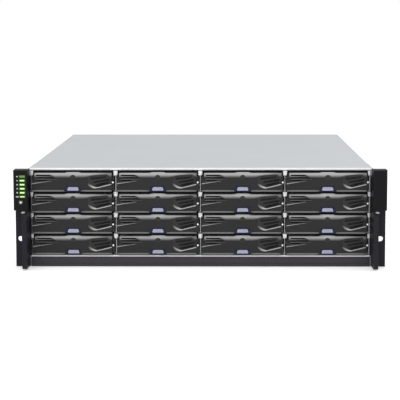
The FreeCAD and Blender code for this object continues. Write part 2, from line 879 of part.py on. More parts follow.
def add_flap_wing(body):
    """The wing at the hinge end: a recess that fades to the right above a rising crease, and its grooves."""
    wing = sketch_on(body, "XY_Plane", "wing_recess", "wing_low", "wing_angle")
    outline(
        wing,
        [
            ("-flap_wall", "-flap_wall"),
            ("wing_length", "-flap_wall"),
            ("wing_length", "0"),
            ("-flap_wall", "wing_depth"),
        ],
    )
    pocket(body, wing, "wing_height")
    grooves = sketch_on(body, "XZ_Plane", "wing_grooves")
    for step in range(GROOVES):
        low = "groove_top - %d * groove_step" % step
        end = "groove_start + groove_long - %d * groove_shrink" % step
        rectangle(grooves, ("groove_start", low), (end, low + " + groove_high"))
    pocket(body, grooves, "groove_depth")


def add_flap_button_seat(body):
    """The lip along the flap's foot, the dish around the release button and the opening for its pad."""
    lip = sketch_on(body, "XZ_Plane", "foot_lip", "-lip_depth")
    rectangle(lip, ("lip_start", "0"), (CENTRE + " - dish_half", "lip_height"))
    rectangle(lip, (CENTRE + " + dish_half", "0"), ("flap_width", "lip_height"))
    pad(body, lip, "lip_depth")
    dish = sketch_on(body, "XZ_Plane", "button_dish", "-lip_depth")
    outline(
        dish,
        [
            (CENTRE + " - dish_half", "-flap_wall"),
            (CENTRE + " + dish_half", "-flap_wall"),
            (CENTRE + " + dish_half_top", "dish_high"),
            (CENTRE + " - dish_half_top", "dish_high"),
        ],
    )
    pocket(body, dish, "lip_depth + dish_depth")
    opening = sketch_on(body, "XZ_Plane", "button_opening")
    outline(
        opening,
        [
            (CENTRE + " - button_half - button_fit", "button_low - button_fit"),
            (CENTRE + " + button_half + button_fit", "button_low - button_fit"),
            (CENTRE + " + button_half_top + button_fit", "button_high + button_fit"),
            (CENTRE + " - button_half_top - button_fit", "button_high + button_fit"),
        ],
    )
    pocket(body, opening, "flap_thick")
    room = sketch_on(body, "XZ_Plane", "button_room", "flap_skin")
    side = "(button_half + button_flange + button_fit)"
    rectangle(room, (CENTRE + " - " + side, "0"), (CENTRE + " + " + side, "2 * flap_wall + button_fit"))
    pocket(body, room, "flap_thick - flap_skin")


def add_flap_lock_seat(body):
    """The blind seat for the bay lock, under the crown, with as many flats as the lock."""
    seat = sketch_on(body, "XZ_Plane", "lock_seat", "-lip_depth")
    many_sided(seat, (CENTRE, "lock_high"), "lock_radius + lock_fit")
    pocket(body, seat, "lip_depth + lock_depth")


def make_flap():
    """The flap with its bay lock, the piece of the tray that is seen and gripped."""
    body = new_body("flap_moulding")
    add_flap_skin(body)
    add_flap_hinge(body)
    add_flap_scoop(body)
    add_flap_wing(body)
    add_flap_button_seat(body)
    add_flap_lock_seat(body)
    spot = (CENTRE, "lock_inset", "lock_high")
    return [body, prism("bay_lock", spot, ROUND_SIDES, "lock_radius", "lock_depth - lock_inset")]


def make_button():
    """The release button: a pad with a sloping top, and the flange that holds it behind the skin."""
    body = new_body("button_pad")
    face = sketch_on(body, "XZ_Plane", "button_face", "dish_depth - button_proud")
    outline(
        face,
        [
            (CENTRE + " - button_half", "button_low"),
            (CENTRE + " + button_half", "button_low"),
            (CENTRE + " + button_half_top + button_corner / 4", "button_high - button_corner"),
            (CENTRE + " + button_half_top - button_corner", "button_high"),
            (CENTRE + " - button_half_top + button_corner", "button_high"),
            (CENTRE + " - button_half_top - button_corner / 4", "button_high - button_corner"),
        ],
    )
    pad(body, face, "flap_skin - dish_depth + button_proud")
    flange = sketch_on(body, "XZ_Plane", "button_flange_face", "flap_skin")
    rectangle(
        flange,
        (CENTRE + " - button_half - button_flange", "button_low"),
        (CENTRE + " + button_half + button_flange", "button_high + button_flange"),
    )
    pad(body, flange, "button_flange_wall")
    return body


def make_trays():
    """Sixteen trays, each with its flap and release button, numbered along the rows from the top left."""
    tray = [make_tray_frame(), make_hard_disk(), make_light_pipe(), make_hinge_pin()]
    flap = make_flap()
    button = [make_button()]
    for number in range(ROWS * COLUMNS):
        row, column = divmod(number, COLUMNS)
        left = "%d * column_pitch" % (column - COLUMNS // 2)
        floor = "bay_floor + %d * row_pitch" % (ROWS - 1 - row)
        tray_spot = (left, FRONT, floor)
        flap_spot = (left + " + flap_margin", FRONT + " - flap_proud", floor + " + flap_lift")
        tag = "_%02d" % (number + 1)
        node(group("disk_tray" + tag, tray, tray_spot), "disk_tray" + tag)
        node(group("tray_flap" + tag, flap, flap_spot), "tray_flap" + tag)
        node(group("release_button" + tag, button, flap_spot), "release_button" + tag)


# ---- Rack ears ----


def slot(sketch, middle, high):
    """A slot with round ends, as long and as high as the rack holes ask."""
    half = "(rack_hole_length / 2 - rack_hole_half)"
    outline(
        sketch,
        [
            (middle + " - " + half, high + " - rack_hole_half"),
            (middle + " + " + half, high + " - rack_hole_half"),
            (middle + " + " + half, high + " + rack_hole_half"),
            (middle + " - " + half, high + " + rack_hole_half"),
        ],
        {1: "rack_hole_half * %.6f" % HALF_TURN, 3: "rack_hole_half * %.6f" % HALF_TURN},
    )


def make_ear_bracket():
    """The left ear's steel angle: the flange that bears on the rack and the leg along the chassis wall."""
    body = new_body("ear_bracket")
    plan = sketch_on(body, "XY_Plane", "bracket_plan", "ear_low")
    outline(
        plan,
        [
            ("-" + EAR_OUT, FRONT + " - flange_wall"),
            ("-" + EAR_IN, FRONT + " - flange_wall"),
            ("-" + EAR_IN, FRONT + " + side_leg"),
            ("-%s - side_leg_wall" % EAR_IN, FRONT + " + side_leg"),
            ("-%s - side_leg_wall" % EAR_IN, FRONT),
            ("-" + EAR_OUT, FRONT),
        ],
    )
    pad(body, plan, "ear_height")
    hole = sketch_on(body, "XZ_Plane", "bracket_slot", FRONT + " - flange_wall")
    slot(hole, "-rack_hole_spacing / 2", "rack_hole_high")
    pocket(body, hole, "flange_wall")
    return body


def make_ear_cover():
    """The left ear's moulded cover: housing above, plate and grip below, and room for a screw head."""
    body = new_body("ear_cover")
    back = FRONT + " - flange_wall"
    housing = sketch_on(body, "XY_Plane", "housing_plan", "housing_low")
    front = back + " - housing_depth"
    outline(
        housing,
        [
            ("-" + EAR_OUT, back),
            ("-" + EAR_OUT, front + " + housing_edge"),
            ("-%s + housing_edge" % EAR_OUT, front),
            ("-%s - housing_edge / 2" % EAR_IN, front),
            ("-" + EAR_IN, front + " + housing_edge / 2"),
            ("-" + EAR_IN, back),
        ],
    )
    pad(body, housing, "ear_low + ear_height - housing_low")
    plate = sketch_on(body, "XY_Plane", "cover_plate_plan", "ear_low")
    rectangle(plate, ("-" + EAR_OUT, back + " - cover_plate"), ("-" + EAR_IN, back))
    pad(body, plate, "housing_low - ear_low")
    grip = sketch_on(body, "YZ_Plane", "grip_profile", "-%s - grip_out" % EAR_IN)
    tip = back + " - grip_depth"
    outline(
        grip,
        [
            (back, "grip_low"),
            (back, "housing_low"),
            (front, "housing_low"),
            (tip, "housing_low - grip_slope"),
            (tip, "grip_low + grip_edge"),
            (tip + " + grip_edge", "grip_low"),
        ],
    )
    pad(body, grip, "grip_out")
    hole = sketch_on(body, "XZ_Plane", "cover_slot", back + " - cover_plate")
    slot(hole, "-rack_hole_spacing / 2", "rack_hole_high")
    pocket(body, hole, "cover_plate")
    relief = sketch_on(body, "XZ_Plane", "screw_head_relief", back + " - cover_plate - head_depth")
    many_sided(relief, ("-rack_hole_spacing / 2", "rack_hole_high"), "head_radius")
    pocket(body, relief, "head_depth")
    return body


def make_ears():
    """Left ear with its status panel, right ear as the mirror image with a plain housing."""
    bracket = make_ear_bracket()
    cover = make_ear_cover()
    front = FRONT + " - flange_wall - housing_depth"
    tools = []
    lenses = []
    for number in range(LENSES):
        low = "lens_top - %d * lens_pitch - lens_height / 2" % number
        side = "-lens_side - lens_width / 2"
        size = ("lens_width", "lens_depth", "lens_height")
        tools.append(box("lens_window_%d" % number, (side, front, low), size))
        spot = (side, front + " - lens_proud", low)
        lenses.append(box("lens_%d" % number, spot, ("lens_width", "lens_depth + lens_proud", "lens_height")))
    well_spot = ("-mute_side", front, "mute_high")
    well = round_bar("mute_well", well_spot, "mute_radius + mute_fit", "mute_depth + mute_stroke")
    node(group("left_ear", [bracket, cut("left_ear_cover", cover, tools + [well])]), "left_ear")
    node(group("status_lenses", lenses), "status_lenses")
    button = new_body("mute_button")
    profile = sketch_on(button, "XZ_Plane", "mute_face", front + " - mute_proud")
    circle(profile, ("-mute_side", "mute_high"), "mute_radius")
    pad(button, profile, "mute_depth")
    node(button, "mute_button")
    mirrored = []
    for part in (bracket, cover):
        other = doc.addObject("Part::Mirroring", "right_" + part.Name)
        other.Source = part
        other.Normal = FreeCAD.Vector(1, 0, 0)
        mirrored.append(other)
    node(group("right_ear", mirrored), "right_ear")


# ---- Rear modules ----


def pull_handle(name, low, across, along):
    """A bow handle behind the rear plates, from low, with its legs apart along X or along Z."""
    body = new_body(name)
    plane = "XY_Plane" if along == "X" else "YZ_Plane"
    sketch = sketch_on(body, plane, name + "_bow", low[2] if along == "X" else low[0])
    first = low[0] if along == "X" else low[2]
    start = BACK + " + module_plate"
    reach = start + " + handle_out"
    corners = [
        (first, start),
        (first, reach + " - handle_bar"),
        (first + " + handle_bar", reach),
        (first + " + handle_span - handle_bar", reach),
        (first + " + handle_span", reach + " - handle_bar"),
        (first + " + handle_span", start),
        (first + " + handle_span - handle_bar", start),
        (first + " + handle_span - handle_bar", reach + " - handle_bar"),
        (first + " + handle_bar", reach + " - handle_bar"),
        (first + " + handle_bar", start),
    ]
    if along == "Z":
        corners = [(out, up) for up, out in corners]
    outline(sketch, corners)
    pad(body, sketch, across)
    return body


def module_shell(name, low_x, high_x, low_z, high_z):
    """A closed module housing and the rear plate that overlaps the edges of its opening."""
    housing = span(name + "_housing", (low_x, FRONT + " + module_front", low_z), (high_x, BACK, high_z))
    return [housing, rear_plate(name + "_plate", low_x, high_x, low_z, high_z)]


def thumb_screw(name, across, high):
    """A captive thumb screw in a rear plate."""
    return prism(name, (across, BACK + " + module_plate", high), ROUND_SIDES, "screw_radius", "screw_out")


def make_power_module(side):
    """A power and cooling module: handle, inlet with its three blades, and a vented fan field."""
    name = side + "_power_module"
    low_x = "-" + POWER_OUT if side == "left" else POWER_IN
    high_x = "-" + POWER_IN if side == "left" else POWER_OUT
    pieces = module_shell(name, low_x, high_x, "power_low", "power_high")
    middle = "(%s + power_width / 2)" % low_x
    handle_low = (low_x + " + handle_bar", "0", "power_high - handle_side - handle_span")
    pieces.append(pull_handle(name + "_handle", handle_low, "handle_bar", "Z"))
    screw_x = high_x + " - 2 * screw_radius"
    pieces.append(thumb_screw(name + "_screw", screw_x, "power_high - 2 * screw_radius"))
    solid = fuse(name + "_solid", pieces)
    outside = BACK + " + module_plate"
    inlet_x = "(%s + handle_bar)" % middle
    tools = [
        span(
            name + "_inlet",
            (inlet_x + " - inlet_width / 2", outside + " - inlet_depth", "inlet_low"),
            (inlet_x + " + inlet_width / 2", outside + " + inlet_depth", "inlet_low + inlet_height"),
        )
    ]
    fan_z = "(power_high + inlet_low + inlet_height) / 2"
    for line in (-1, 0, 1):
        count = 4 - abs(line)
        for step in range(count):
            spot = (
                "%s + %.1f * fan_hole_pitch" % (inlet_x, step - (count - 1) / 2),
                outside + " - vent_depth",
                "%s + %d * fan_hole_pitch * sin(60)" % (fan_z, line),
            )
            tag = "_fan_hole_%d_%d" % (line + 1, step)
            tools.append(prism(name + tag, spot, 6, "fan_hole_radius", "2 * vent_depth"))
    module = cut(name + "_body", solid, tools)
    blades = []
    for step in (-1, 0, 1):
        low = (
            "%s + %d * blade_pitch - blade_width / 2" % (inlet_x, step),
            outside + " - inlet_depth",
            "inlet_low + blade_low + %d * earth_rise" % (1 - abs(step)),
        )
        size = ("blade_width", "blade_length", "blade_height")
        blades.append(box("%s_blade_%d" % (name, step + 1), low, size))
    return node(group(name, [module] + blades), name)


def make_controller_module():
    """The controller canister: ports, a row of vents, a handle and two thumb screws."""
    name = "controller_module"
    pieces = module_shell(name, "-" + CONTROL, CONTROL, "control_low", "control_high")
    handle_low = (CONTROL + " - handle_side - handle_span", "0", "control_low + handle_bar")
    pieces.append(pull_handle(name + "_handle", handle_low, "handle_bar", "X"))
    screw_high = "control_high - 2 * screw_radius"
    pieces.append(thumb_screw(name + "_left_screw", "-%s + 2 * screw_radius" % CONTROL, screw_high))
    pieces.append(thumb_screw(name + "_right_screw", CONTROL + " - 2 * screw_radius", screw_high))
    solid = fuse(name + "_solid", pieces)
    outside = BACK + " + module_plate"
    tools = []
    for step in range(PORTS):
        low_x = "-%s + handle_side + %d * (%s - handle_side) / %d" % (CONTROL, step, CONTROL, PORTS)
        tools.append(
            span(
                "port_%d" % step,
                (low_x, outside + " - port_depth", "port_low"),
                (low_x + " + port_width", outside + " + port_depth", "port_low + port_height"),
            )
        )
    for step in range(CANISTER_VENTS):
        low_x = "-%s + handle_side + %d * vent_pitch" % (CONTROL, step)
        tools.append(
            span(
                "canister_vent_%d" % step,
                (low_x, outside + " - vent_depth", "port_low + 2 * port_height"),
                (low_x + " + vent_width", outside + " + vent_depth", "control_high - port_height"),
            )
        )
    return node(cut(name, solid, tools), name)


# ---- Checks and export ----


def check_document():
    """Stop if an object failed, a pocket removed nothing, or a sub-part's shape is null or not valid."""
    for item in doc.Objects:
        if "Invalid" in item.State or "Error" in item.State:
            raise RuntimeError("%s failed: %s" % (item.Name, item.State))
        if item.TypeId == "PartDesign::Pocket" and item.Shape.Volume > item.BaseFeature.Shape.Volume - 1e-3:
            raise RuntimeError(item.Name + " removed nothing")
    for item in nodes:
        if item.Shape.isNull() or not item.Shape.isValid():
            raise RuntimeError(item.Label + " has no valid shape")


def export_nodes():
    """Write each sub-part's shape to parts/NODE.step."""
    os.makedirs("parts", exist_ok=True)
    for item in nodes:
        item.Shape.exportStep("parts/%s.step" % item.Label)
        solids = len(item.Shape.Solids)
        print("%-22s solids %2d volume %10.1f mm3" % (item.Label, solids, item.Shape.Volume))


def main():
    """Build every sub-part, recompute the document, check it and write the files."""
    fill_sheet()
    make_chassis_pan()
    make_top_cover()
    make_front_sill()
    make_bay_partitions()
    make_midplane_board()
    make_trays()
    make_ears()
    make_power_module("left")
    make_power_module("right")
    make_controller_module()
    doc.recompute()
    check_document()
    export_nodes()


main()
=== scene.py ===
"""Looks of a 3 unit disk shelf enclosure with sixteen drive trays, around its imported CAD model.

Every length in the classes below is in millimetres, in the model's own frame: +Z up, +X to the right
of someone facing the trays, and the trays facing -Y. Meshes are written in metres.
"""

from __future__ import annotations

import json
import logging
import math
from collections.abc import Callable
from dataclasses import dataclass, field
from enum import Enum

import bmesh
import bpy
import numpy as np
from mathutils import Matrix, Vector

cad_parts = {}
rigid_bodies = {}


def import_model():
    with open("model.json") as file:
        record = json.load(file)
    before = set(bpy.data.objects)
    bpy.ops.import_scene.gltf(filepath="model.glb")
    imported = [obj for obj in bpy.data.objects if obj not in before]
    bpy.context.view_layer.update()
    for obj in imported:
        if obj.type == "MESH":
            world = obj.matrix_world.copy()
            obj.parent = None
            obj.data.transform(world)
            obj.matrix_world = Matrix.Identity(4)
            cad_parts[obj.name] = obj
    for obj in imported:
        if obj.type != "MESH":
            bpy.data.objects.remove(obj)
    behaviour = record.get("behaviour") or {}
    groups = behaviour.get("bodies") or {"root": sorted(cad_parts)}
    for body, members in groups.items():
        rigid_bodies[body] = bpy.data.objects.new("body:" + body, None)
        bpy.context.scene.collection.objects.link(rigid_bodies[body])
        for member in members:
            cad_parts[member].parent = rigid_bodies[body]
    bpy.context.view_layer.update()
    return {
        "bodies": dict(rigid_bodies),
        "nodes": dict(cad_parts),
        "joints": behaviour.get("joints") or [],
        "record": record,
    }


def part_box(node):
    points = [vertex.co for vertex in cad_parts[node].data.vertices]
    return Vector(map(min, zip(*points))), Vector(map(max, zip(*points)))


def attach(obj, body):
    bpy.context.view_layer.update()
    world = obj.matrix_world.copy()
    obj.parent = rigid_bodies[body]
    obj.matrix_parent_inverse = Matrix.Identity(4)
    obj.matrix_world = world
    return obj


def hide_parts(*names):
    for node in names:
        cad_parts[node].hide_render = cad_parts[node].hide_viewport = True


log = logging.getLogger("disk_shelf")

MM = 0.001
MERGE_DIGITS = 4
ROWS = 4
COLUMNS = 4
TRAYS = [f"{number:02d}" for number in range(1, ROWS * COLUMNS + 1)]
Array = np.ndarray
Colour = tuple[float, float, float]
Spot = tuple[float, float, float]
Flat = tuple[float, float]
Curve = tuple[tuple[float, ...], tuple[float, ...]]
Socket = bpy.types.NodeSocket


# ---------------------------------------------------------------- surfaces


@dataclass
class Skin:
    """Triangles of one piece, in millimetres.

    Args:
        points: one row of X, Y and Z for each corner.
        faces: three corner numbers for each triangle.
    """

    points: Array
    faces: Array


def joined(skins: list[Skin]) -> Skin:
    """Put several skins into one.

    Args:
        skins: the skins, which may be separate shells.

    Returns:
        One skin with every triangle.
    """
    starts = np.cumsum([0] + [len(skin.points) for skin in skins[:-1]])
    points = np.concatenate([skin.points for skin in skins])
    faces = np.concatenate([skin.faces + start for skin, start in zip(skins, starts)])
    return Skin(points, faces)


def sheet_of(points: Array, wrap: bool = False) -> Skin:
    """Two triangles for each cell of a grid of points.

    Args:
        points: rows by columns by three.
        wrap: joins the last column to the first.

    Returns:
        The open or tubular surface through the points.
    """
    rows, columns = points.shape[:2]
    index = np.arange(rows * columns).reshape(rows, columns)
    if wrap:
        index = np.hstack([index, index[:, :1]])
    corner = [index[:-1, :-1], index[:-1, 1:], index[1:, 1:], index[1:, :-1]]
    near = np.stack([corner[0], corner[1], corner[2]], -1).reshape(-1, 3)
    far = np.stack([corner[0], corner[2], corner[3]], -1).reshape(-1, 3)
    return Skin(points.reshape(-1, 3), np.concatenate([near, far]))


def fan(ring: Array) -> Skin:
    """Close a ring of points with triangles to their mean.

    Args:
        ring: the points, in order.

    Returns:
        The lid, star shaped about its middle.
    """
    count = len(ring)
    points = np.vstack([ring, ring.mean(axis=0)])
    index = np.arange(count)
    return Skin(points, np.stack([index, np.roll(index, -1), np.full(count, count)], -1))


def tube_of(rings: Array) -> Skin:
    """A closed shell through rings of points, with a lid at each end.

    Args:
        rings: rings by points by three.

    Returns:
        The closed shell.
    """
    return joined([sheet_of(rings, wrap=True), fan(rings[0]), fan(rings[-1])])


def lathe(profile: Array, centre: Spot, axis: str = "Y", sides: int = 24) -> Skin:
    """Turn a profile about an axis.

    Each point of the profile is a radius and a distance along the axis. It goes to the circle of that
    radius, so the surface is centre + radius * (cos, sin) across + distance along.

    Args:
        profile: one row of radius and distance for each point.
        centre: where the distances are counted from.
        axis: "Y" for a piece that faces front or back, "X" for one on a side.
        sides: facets around the axis.

    Returns:
        The closed turned shape.
    """
    angle = np.arange(sides) * 2 * math.pi / sides
    radius, along = profile[:, :1], np.repeat(profile[:, 1:2], sides, axis=1)
    across, up = radius * np.cos(angle), radius * np.sin(angle)
    order = (across, along, up) if axis == "Y" else (along, across, up)
    return tube_of(np.stack(order, -1) + np.asarray(centre, float))


def bead(path: Array, width: Array, rise: Array, sides: int = 8) -> Skin:
    """Carry a flattened round section along a path on a front plane.

    At each point of the path the section is an ellipse: half its width lies across the path in the
    front plane, and its rise stands out towards -Y and, by half as much, into the plane.

    Args:
        path: one row of X, Y and Z for each point.
        width: the half width at each point.
        rise: how far the bead stands out at each point.
        sides: points around the section.

    Returns:
        The closed bead.
    """
    along = np.gradient(path, axis=0)
    along /= np.linalg.norm(along, axis=1, keepdims=True)
    out = np.array([0.0, -1.0, 0.0])
    side = np.cross(along, out)
    side /= np.linalg.norm(side, axis=1, keepdims=True)
    angle = np.arange(sides) * 2 * math.pi / sides
    across = np.cos(angle)[None, :, None] * np.asarray(width, float)[:, None, None]
    lift = np.where(np.sin(angle) > 0, np.sin(angle), 0.5 * np.sin(angle))
    proud = lift[None, :, None] * np.asarray(rise, float)[:, None, None]
    return tube_of(path[:, None, :] + side[:, None, :] * across + out * proud)


def rounded_block(low: Spot, high: Spot, radius: float, steps: int = 3) -> Skin:
    """A block with round edges and corners.

    A ball of the given radius is cut into eight octants, and each octant is moved to its own corner of
    the smaller block inside, so the rows and columns where two octants meet become the flat faces.

    Args:
        low: lowest corner.
        high: highest corner.
        radius: of the edges.
        steps: facets around a quarter of an edge.

    Returns:
        The closed block.
    """
    centre = (np.asarray(low, float) + high) / 2
    inner = np.maximum((np.asarray(high, float) - low) / 2 - radius, 0)
    quarter = np.linspace(0, math.pi / 2, steps + 1)
    turn = np.concatenate([quarter + k * math.pi / 2 for k in range(4)])
    east = np.repeat([1, -1, -1, 1], steps + 1)
    north = np.repeat([1, 1, -1, -1], steps + 1)
    tilt = np.concatenate([quarter - math.pi / 2, quarter])
    up = np.repeat([-1, 1], steps + 1)
    ball = np.stack(
        [
            np.outer(np.cos(tilt), np.cos(turn)),
            np.outer(np.cos(tilt), np.sin(turn)),
            np.outer(np.sin(tilt), np.ones_like(turn)),
        ],
        -1,
    )
    level = np.ones_like(up)
    sign = np.stack([np.outer(level, east), np.outer(level, north), np.outer(up, np.ones_like(east))], -1)
    return tube_of(centre + sign * inner + radius * ball)


def smooth(share: Array) -> Array:
    """The S curve 3 s * s - 2 s * s * s of a share s, which is first held between nothing and one."""
    held = np.clip(share, 0, 1)
    return held * held * (3 - 2 * held)


def level_path(across: Array, depth: float, up: float) -> Array:
    """A path along X, at one Y and one Z."""
    return np.stack([across, np.full_like(across, depth), np.full_like(across, up)], -1)


def rectangle(left: float, low: float, right: float, high: float) -> list[Flat]:
    """The corners of a rectangle in X and Z, in order."""
    return [(left, low), (right, low), (right, high), (left, high)]


def rounded_outline(corners: list[Flat], radius: float, steps: int = 4) -> Array:
    """An outline in X and Z whose corners are rounded.

    Near each corner the line is the quadratic curve from radius before it to radius after it, with the
    corner as its middle control point.

    Args:
        corners: in order around the outline.
        radius: how far before and after each corner the curve begins and ends.
        steps: facets of each curve.

    Returns:
        One row of X and Z for each point.
    """
    here = np.asarray(corners, float)
    before, after = np.roll(here, 1, axis=0) - here, np.roll(here, -1, axis=0) - here
    start = here + radius * before / np.linalg.norm(before, axis=1, keepdims=True)
    end = here + radius * after / np.linalg.norm(after, axis=1, keepdims=True)
    t = np.linspace(0, 1, steps + 1)[None, :, None]
    curve = (1 - t) ** 2 * start[:, None] + 2 * t * (1 - t) * here[:, None] + t**2 * end[:, None]
    return curve.reshape(-1, 2)


def cushion(outline: Array, steps: list[Flat]) -> Skin:
    """A pad whose outline is drawn in towards its middle, step by step, as it comes forward.

    Args:
        outline: one row of X and Z for each point.
        steps: for each ring, the share of the outline's size and its Y.

    Returns:
        The closed pad.
    """
    middle = outline.mean(axis=0)
    share = np.array([step[0] for step in steps])[:, None, None]
    flat = middle + (outline - middle)[None] * share
    depth = np.repeat(np.array([step[1] for step in steps])[:, None], len(outline), axis=1)
    return tube_of(np.stack([flat[..., 0], depth, flat[..., 1]], -1))


def ring_plate(outer: Array, inner: Array, front: float, back: float) -> Skin:
    """A flat frame between two outlines of as many points.

    Args:
        outer: outline of X and Z.
        inner: outline of the opening.
        front: Y of the front face.
        back: Y of the back face.

    Returns:
        The closed frame.
    """
    loops = [(outer, back), (outer, front), (inner, front), (inner, back), (outer, back)]
    rings = [np.stack([flat[:, 0], np.full(len(flat), y), flat[:, 1]], -1) for flat, y in loops]
    return sheet_of(np.stack(rings), wrap=True)


def star(points: int, outer: float, inner: float, centre: Flat) -> Array:
    """A star or, where both radii agree, a regular outline with twice as many corners.

    The corners stand at even angles, on the outer and the inner radius in turn.

    Args:
        points: how many tips.
        outer: radius of the tips.
        inner: radius between them.
        centre: X and Z of the middle.

    Returns:
        One row of X and Z for each point.
    """
    angle = math.pi / 2 + np.arange(2 * points) * math.pi / points
    radius = np.where(np.arange(2 * points) % 2 == 0, outer, inner)
    return np.stack([centre[0] + radius * np.cos(angle), centre[1] + radius * np.sin(angle)], -1)


# ---------------------------------------------------------------- finishes


class NodeTree:
    """A node tree that is filled from short calls."""

    def __init__(self, tree: bpy.types.NodeTree) -> None:
        """Keep the tree, emptied of its first nodes."""
        self.tree = tree
        self.tree.nodes.clear()

    def add(self, kind: str, inputs: dict[str, object] | None = None, **settings: object) -> bpy.types.Node:
        """Add a node.

        Args:
            kind: its type without the words ShaderNode.
            inputs: a plain value or another node's output for each named or numbered input.
            settings: the node's own properties.

        Returns:
            The node.
        """
        name = kind if kind.startswith("Node") else "ShaderNode" + kind
        node = self.tree.nodes.new(name)
        for key, setting in settings.items():
            setattr(node, key, setting)
        for key, given in (inputs or {}).items():
            socket = node.inputs[int(key)] if key.isdigit() else node.inputs[key]
            if isinstance(given, Socket):
                self.link(given, socket)
            else:
                socket.default_value = given
        return node

    def link(self, source: Socket, target: Socket) -> None:
        """Join an output to an input."""
        self.tree.links.new(source, target)

    def maths(self, operation: str, first: object, second: object = 0.0, clamp: bool = False) -> Socket:
        """Work on two values and give the result's socket."""
        node = self.add("Math", {"0": first, "1": second}, operation=operation, use_clamp=clamp)
        return node.outputs[0]

    def mixed(self, share: object, first: object, second: object, blend: str = "MIX") -> Socket:
        """Mix two colours and give the result's socket."""
        node = self.add("Mix", {"0": share, "6": first, "7": second}, data_type="RGBA", blend_type=blend)
        return node.outputs[2]

    def scaled(self, colour: object, level: Socket) -> Socket:
        """Multiply a colour by a value and give the result's socket."""
        grey = self.add("CombineXYZ", {"X": level, "Y": level, "Z": level})
        return self.mixed(1.0, colour, grey.outputs[0], "MULTIPLY")


def group(
    name: str, inputs: dict[str, tuple[str, object]], outputs: dict[str, str]
) -> tuple[NodeTree, bpy.types.Node, bpy.types.Node]:
    """Start a shader node group.

    Args:
        name: of the group.
        inputs: socket type and first value for each input.
        outputs: socket type for each output.

    Returns:
        The tree, its input node and its output node.
    """
    tree = bpy.data.node_groups.new(name, "ShaderNodeTree")
    for key, (kind, first) in inputs.items():
        tree.interface.new_socket(name=key, in_out="INPUT", socket_type=kind).default_value = first
    for key, kind in outputs.items():
        tree.interface.new_socket(name=key, in_out="OUTPUT", socket_type=kind)
    nodes = NodeTree(tree)
    return nodes, nodes.add("NodeGroupInput"), nodes.add("NodeGroupOutput")


def make_grain_group() -> bpy.types.NodeTree:
    """Fine grain and soft clouds of any moulded, cast or painted surface.

    The pattern is four tenths of the fine noise and six tenths of the soft one. Its swing is how far it
    stands from one half, times the variation. The colour is multiplied by 1 + 4 * swing, and the
    roughness grows by 1.5 * swing.

    Returns:
        A group that varies a colour and a roughness, and gives a height for bump.
    """
    tree, given, result = group(
        "surface_grain",
        {
            "Colour": ("NodeSocketColor", (0.5, 0.5, 0.5, 1)),
            "Roughness": ("NodeSocketFloat", 0.5),
            "Grain": ("NodeSocketFloat", 2500.0),
            "Clouds": ("NodeSocketFloat", 18.0),
            "Variation": ("NodeSocketFloat", 0.1),
        },
        {"Colour": "NodeSocketColor", "Roughness": "NodeSocketFloat", "Height": "NodeSocketFloat"},
    )
    place = tree.add("TexCoord").outputs["Object"]
    fine = tree.add(
        "TexNoise", {"Vector": place, "Scale": given.outputs["Grain"], "Detail": 3.0, "Roughness": 0.6}
    ).outputs["Fac"]
    soft = tree.add(
        "TexNoise", {"Vector": place, "Scale": given.outputs["Clouds"], "Detail": 4.0, "Roughness": 0.55}
    ).outputs["Fac"]
    pattern = tree.maths("ADD", tree.maths("MULTIPLY", fine, 0.4), tree.maths("MULTIPLY", soft, 0.6))
    swing = tree.maths("MULTIPLY", tree.maths("SUBTRACT", pattern, 0.5), given.outputs["Variation"])
    level = tree.maths("ADD", tree.maths("MULTIPLY", swing, 4.0), 1.0)
    rough = tree.maths("ADD", given.outputs["Roughness"], tree.maths("MULTIPLY", swing, 1.5), clamp=True)
    tree.link(tree.scaled(given.outputs["Colour"], level), result.inputs["Colour"])
    tree.link(rough, result.inputs["Roughness"])
    tree.link(fine, result.inputs["Height"])
    return tree.tree


def make_edge_group() -> bpy.types.NodeTree:
    """A painted highlight along the edges of a piece, where they would catch the light.

    Where a slightly rounded copy of the surface points another way than the surface itself, there is an
    edge, and the mask grows by five times that difference. A soft noise breaks the line up.

    Returns:
        A group that gives the mask and the rounded normal.
    """
    tree, given, result = group(
        "edge_glint",
        {"Radius": ("NodeSocketFloat", 0.0004), "Strength": ("NodeSocketFloat", 1.0)},
        {"Mask": "NodeSocketFloat", "Normal": "NodeSocketVector"},
    )
    bevel = tree.add("Bevel", {"Radius": given.outputs["Radius"]}, samples=4).outputs[0]
    face = tree.add("NewGeometry").outputs["Normal"]
    agree = tree.add("VectorMath", {"0": bevel, "1": face}, operation="DOT_PRODUCT").outputs["Value"]
    mask = tree.maths("MULTIPLY", tree.maths("SUBTRACT", 1.0, agree), 5.0, clamp=True)
    place = tree.add("TexCoord").outputs["Object"]
    patchy = tree.add("TexNoise", {"Vector": place, "Scale": 90.0, "Detail": 2.0}).outputs["Fac"]
    broken = tree.maths("MULTIPLY", mask, tree.maths("ADD", patchy, 0.35))
    strong = tree.maths("MULTIPLY", broken, given.outputs["Strength"], clamp=True)
    tree.link(strong, result.inputs["Mask"])
    tree.link(bevel, result.inputs["Normal"])
    return tree.tree


def make_drawn_group() -> bpy.types.NodeTree:
    """The long fine lines that rolling leaves in sheet metal.

    A noise whose scale is high along Y and Z and low along X.

    Returns:
        A group that gives a value near one half, stretched along X.
    """
    tree, given, result = group(
        "drawn_lines",
        {"Across": ("NodeSocketFloat", 900.0), "Along": ("NodeSocketFloat", 6.0)},
        {"Value": "NodeSocketFloat"},
    )
    place = tree.add("TexCoord").outputs["Object"]
    across = given.outputs["Across"]
    stretch = tree.add("CombineXYZ", {"X": given.outputs["Along"], "Y": across, "Z": across}).outputs[0]
    spot = tree.add("VectorMath", {"0": place, "1": stretch}, operation="MULTIPLY").outputs[0]
    lines = tree.add("TexNoise", {"Vector": spot, "Scale": 1.0, "Detail": 3.0})
    tree.link(lines.outputs["Fac"], result.inputs["Value"])
    return tree.tree


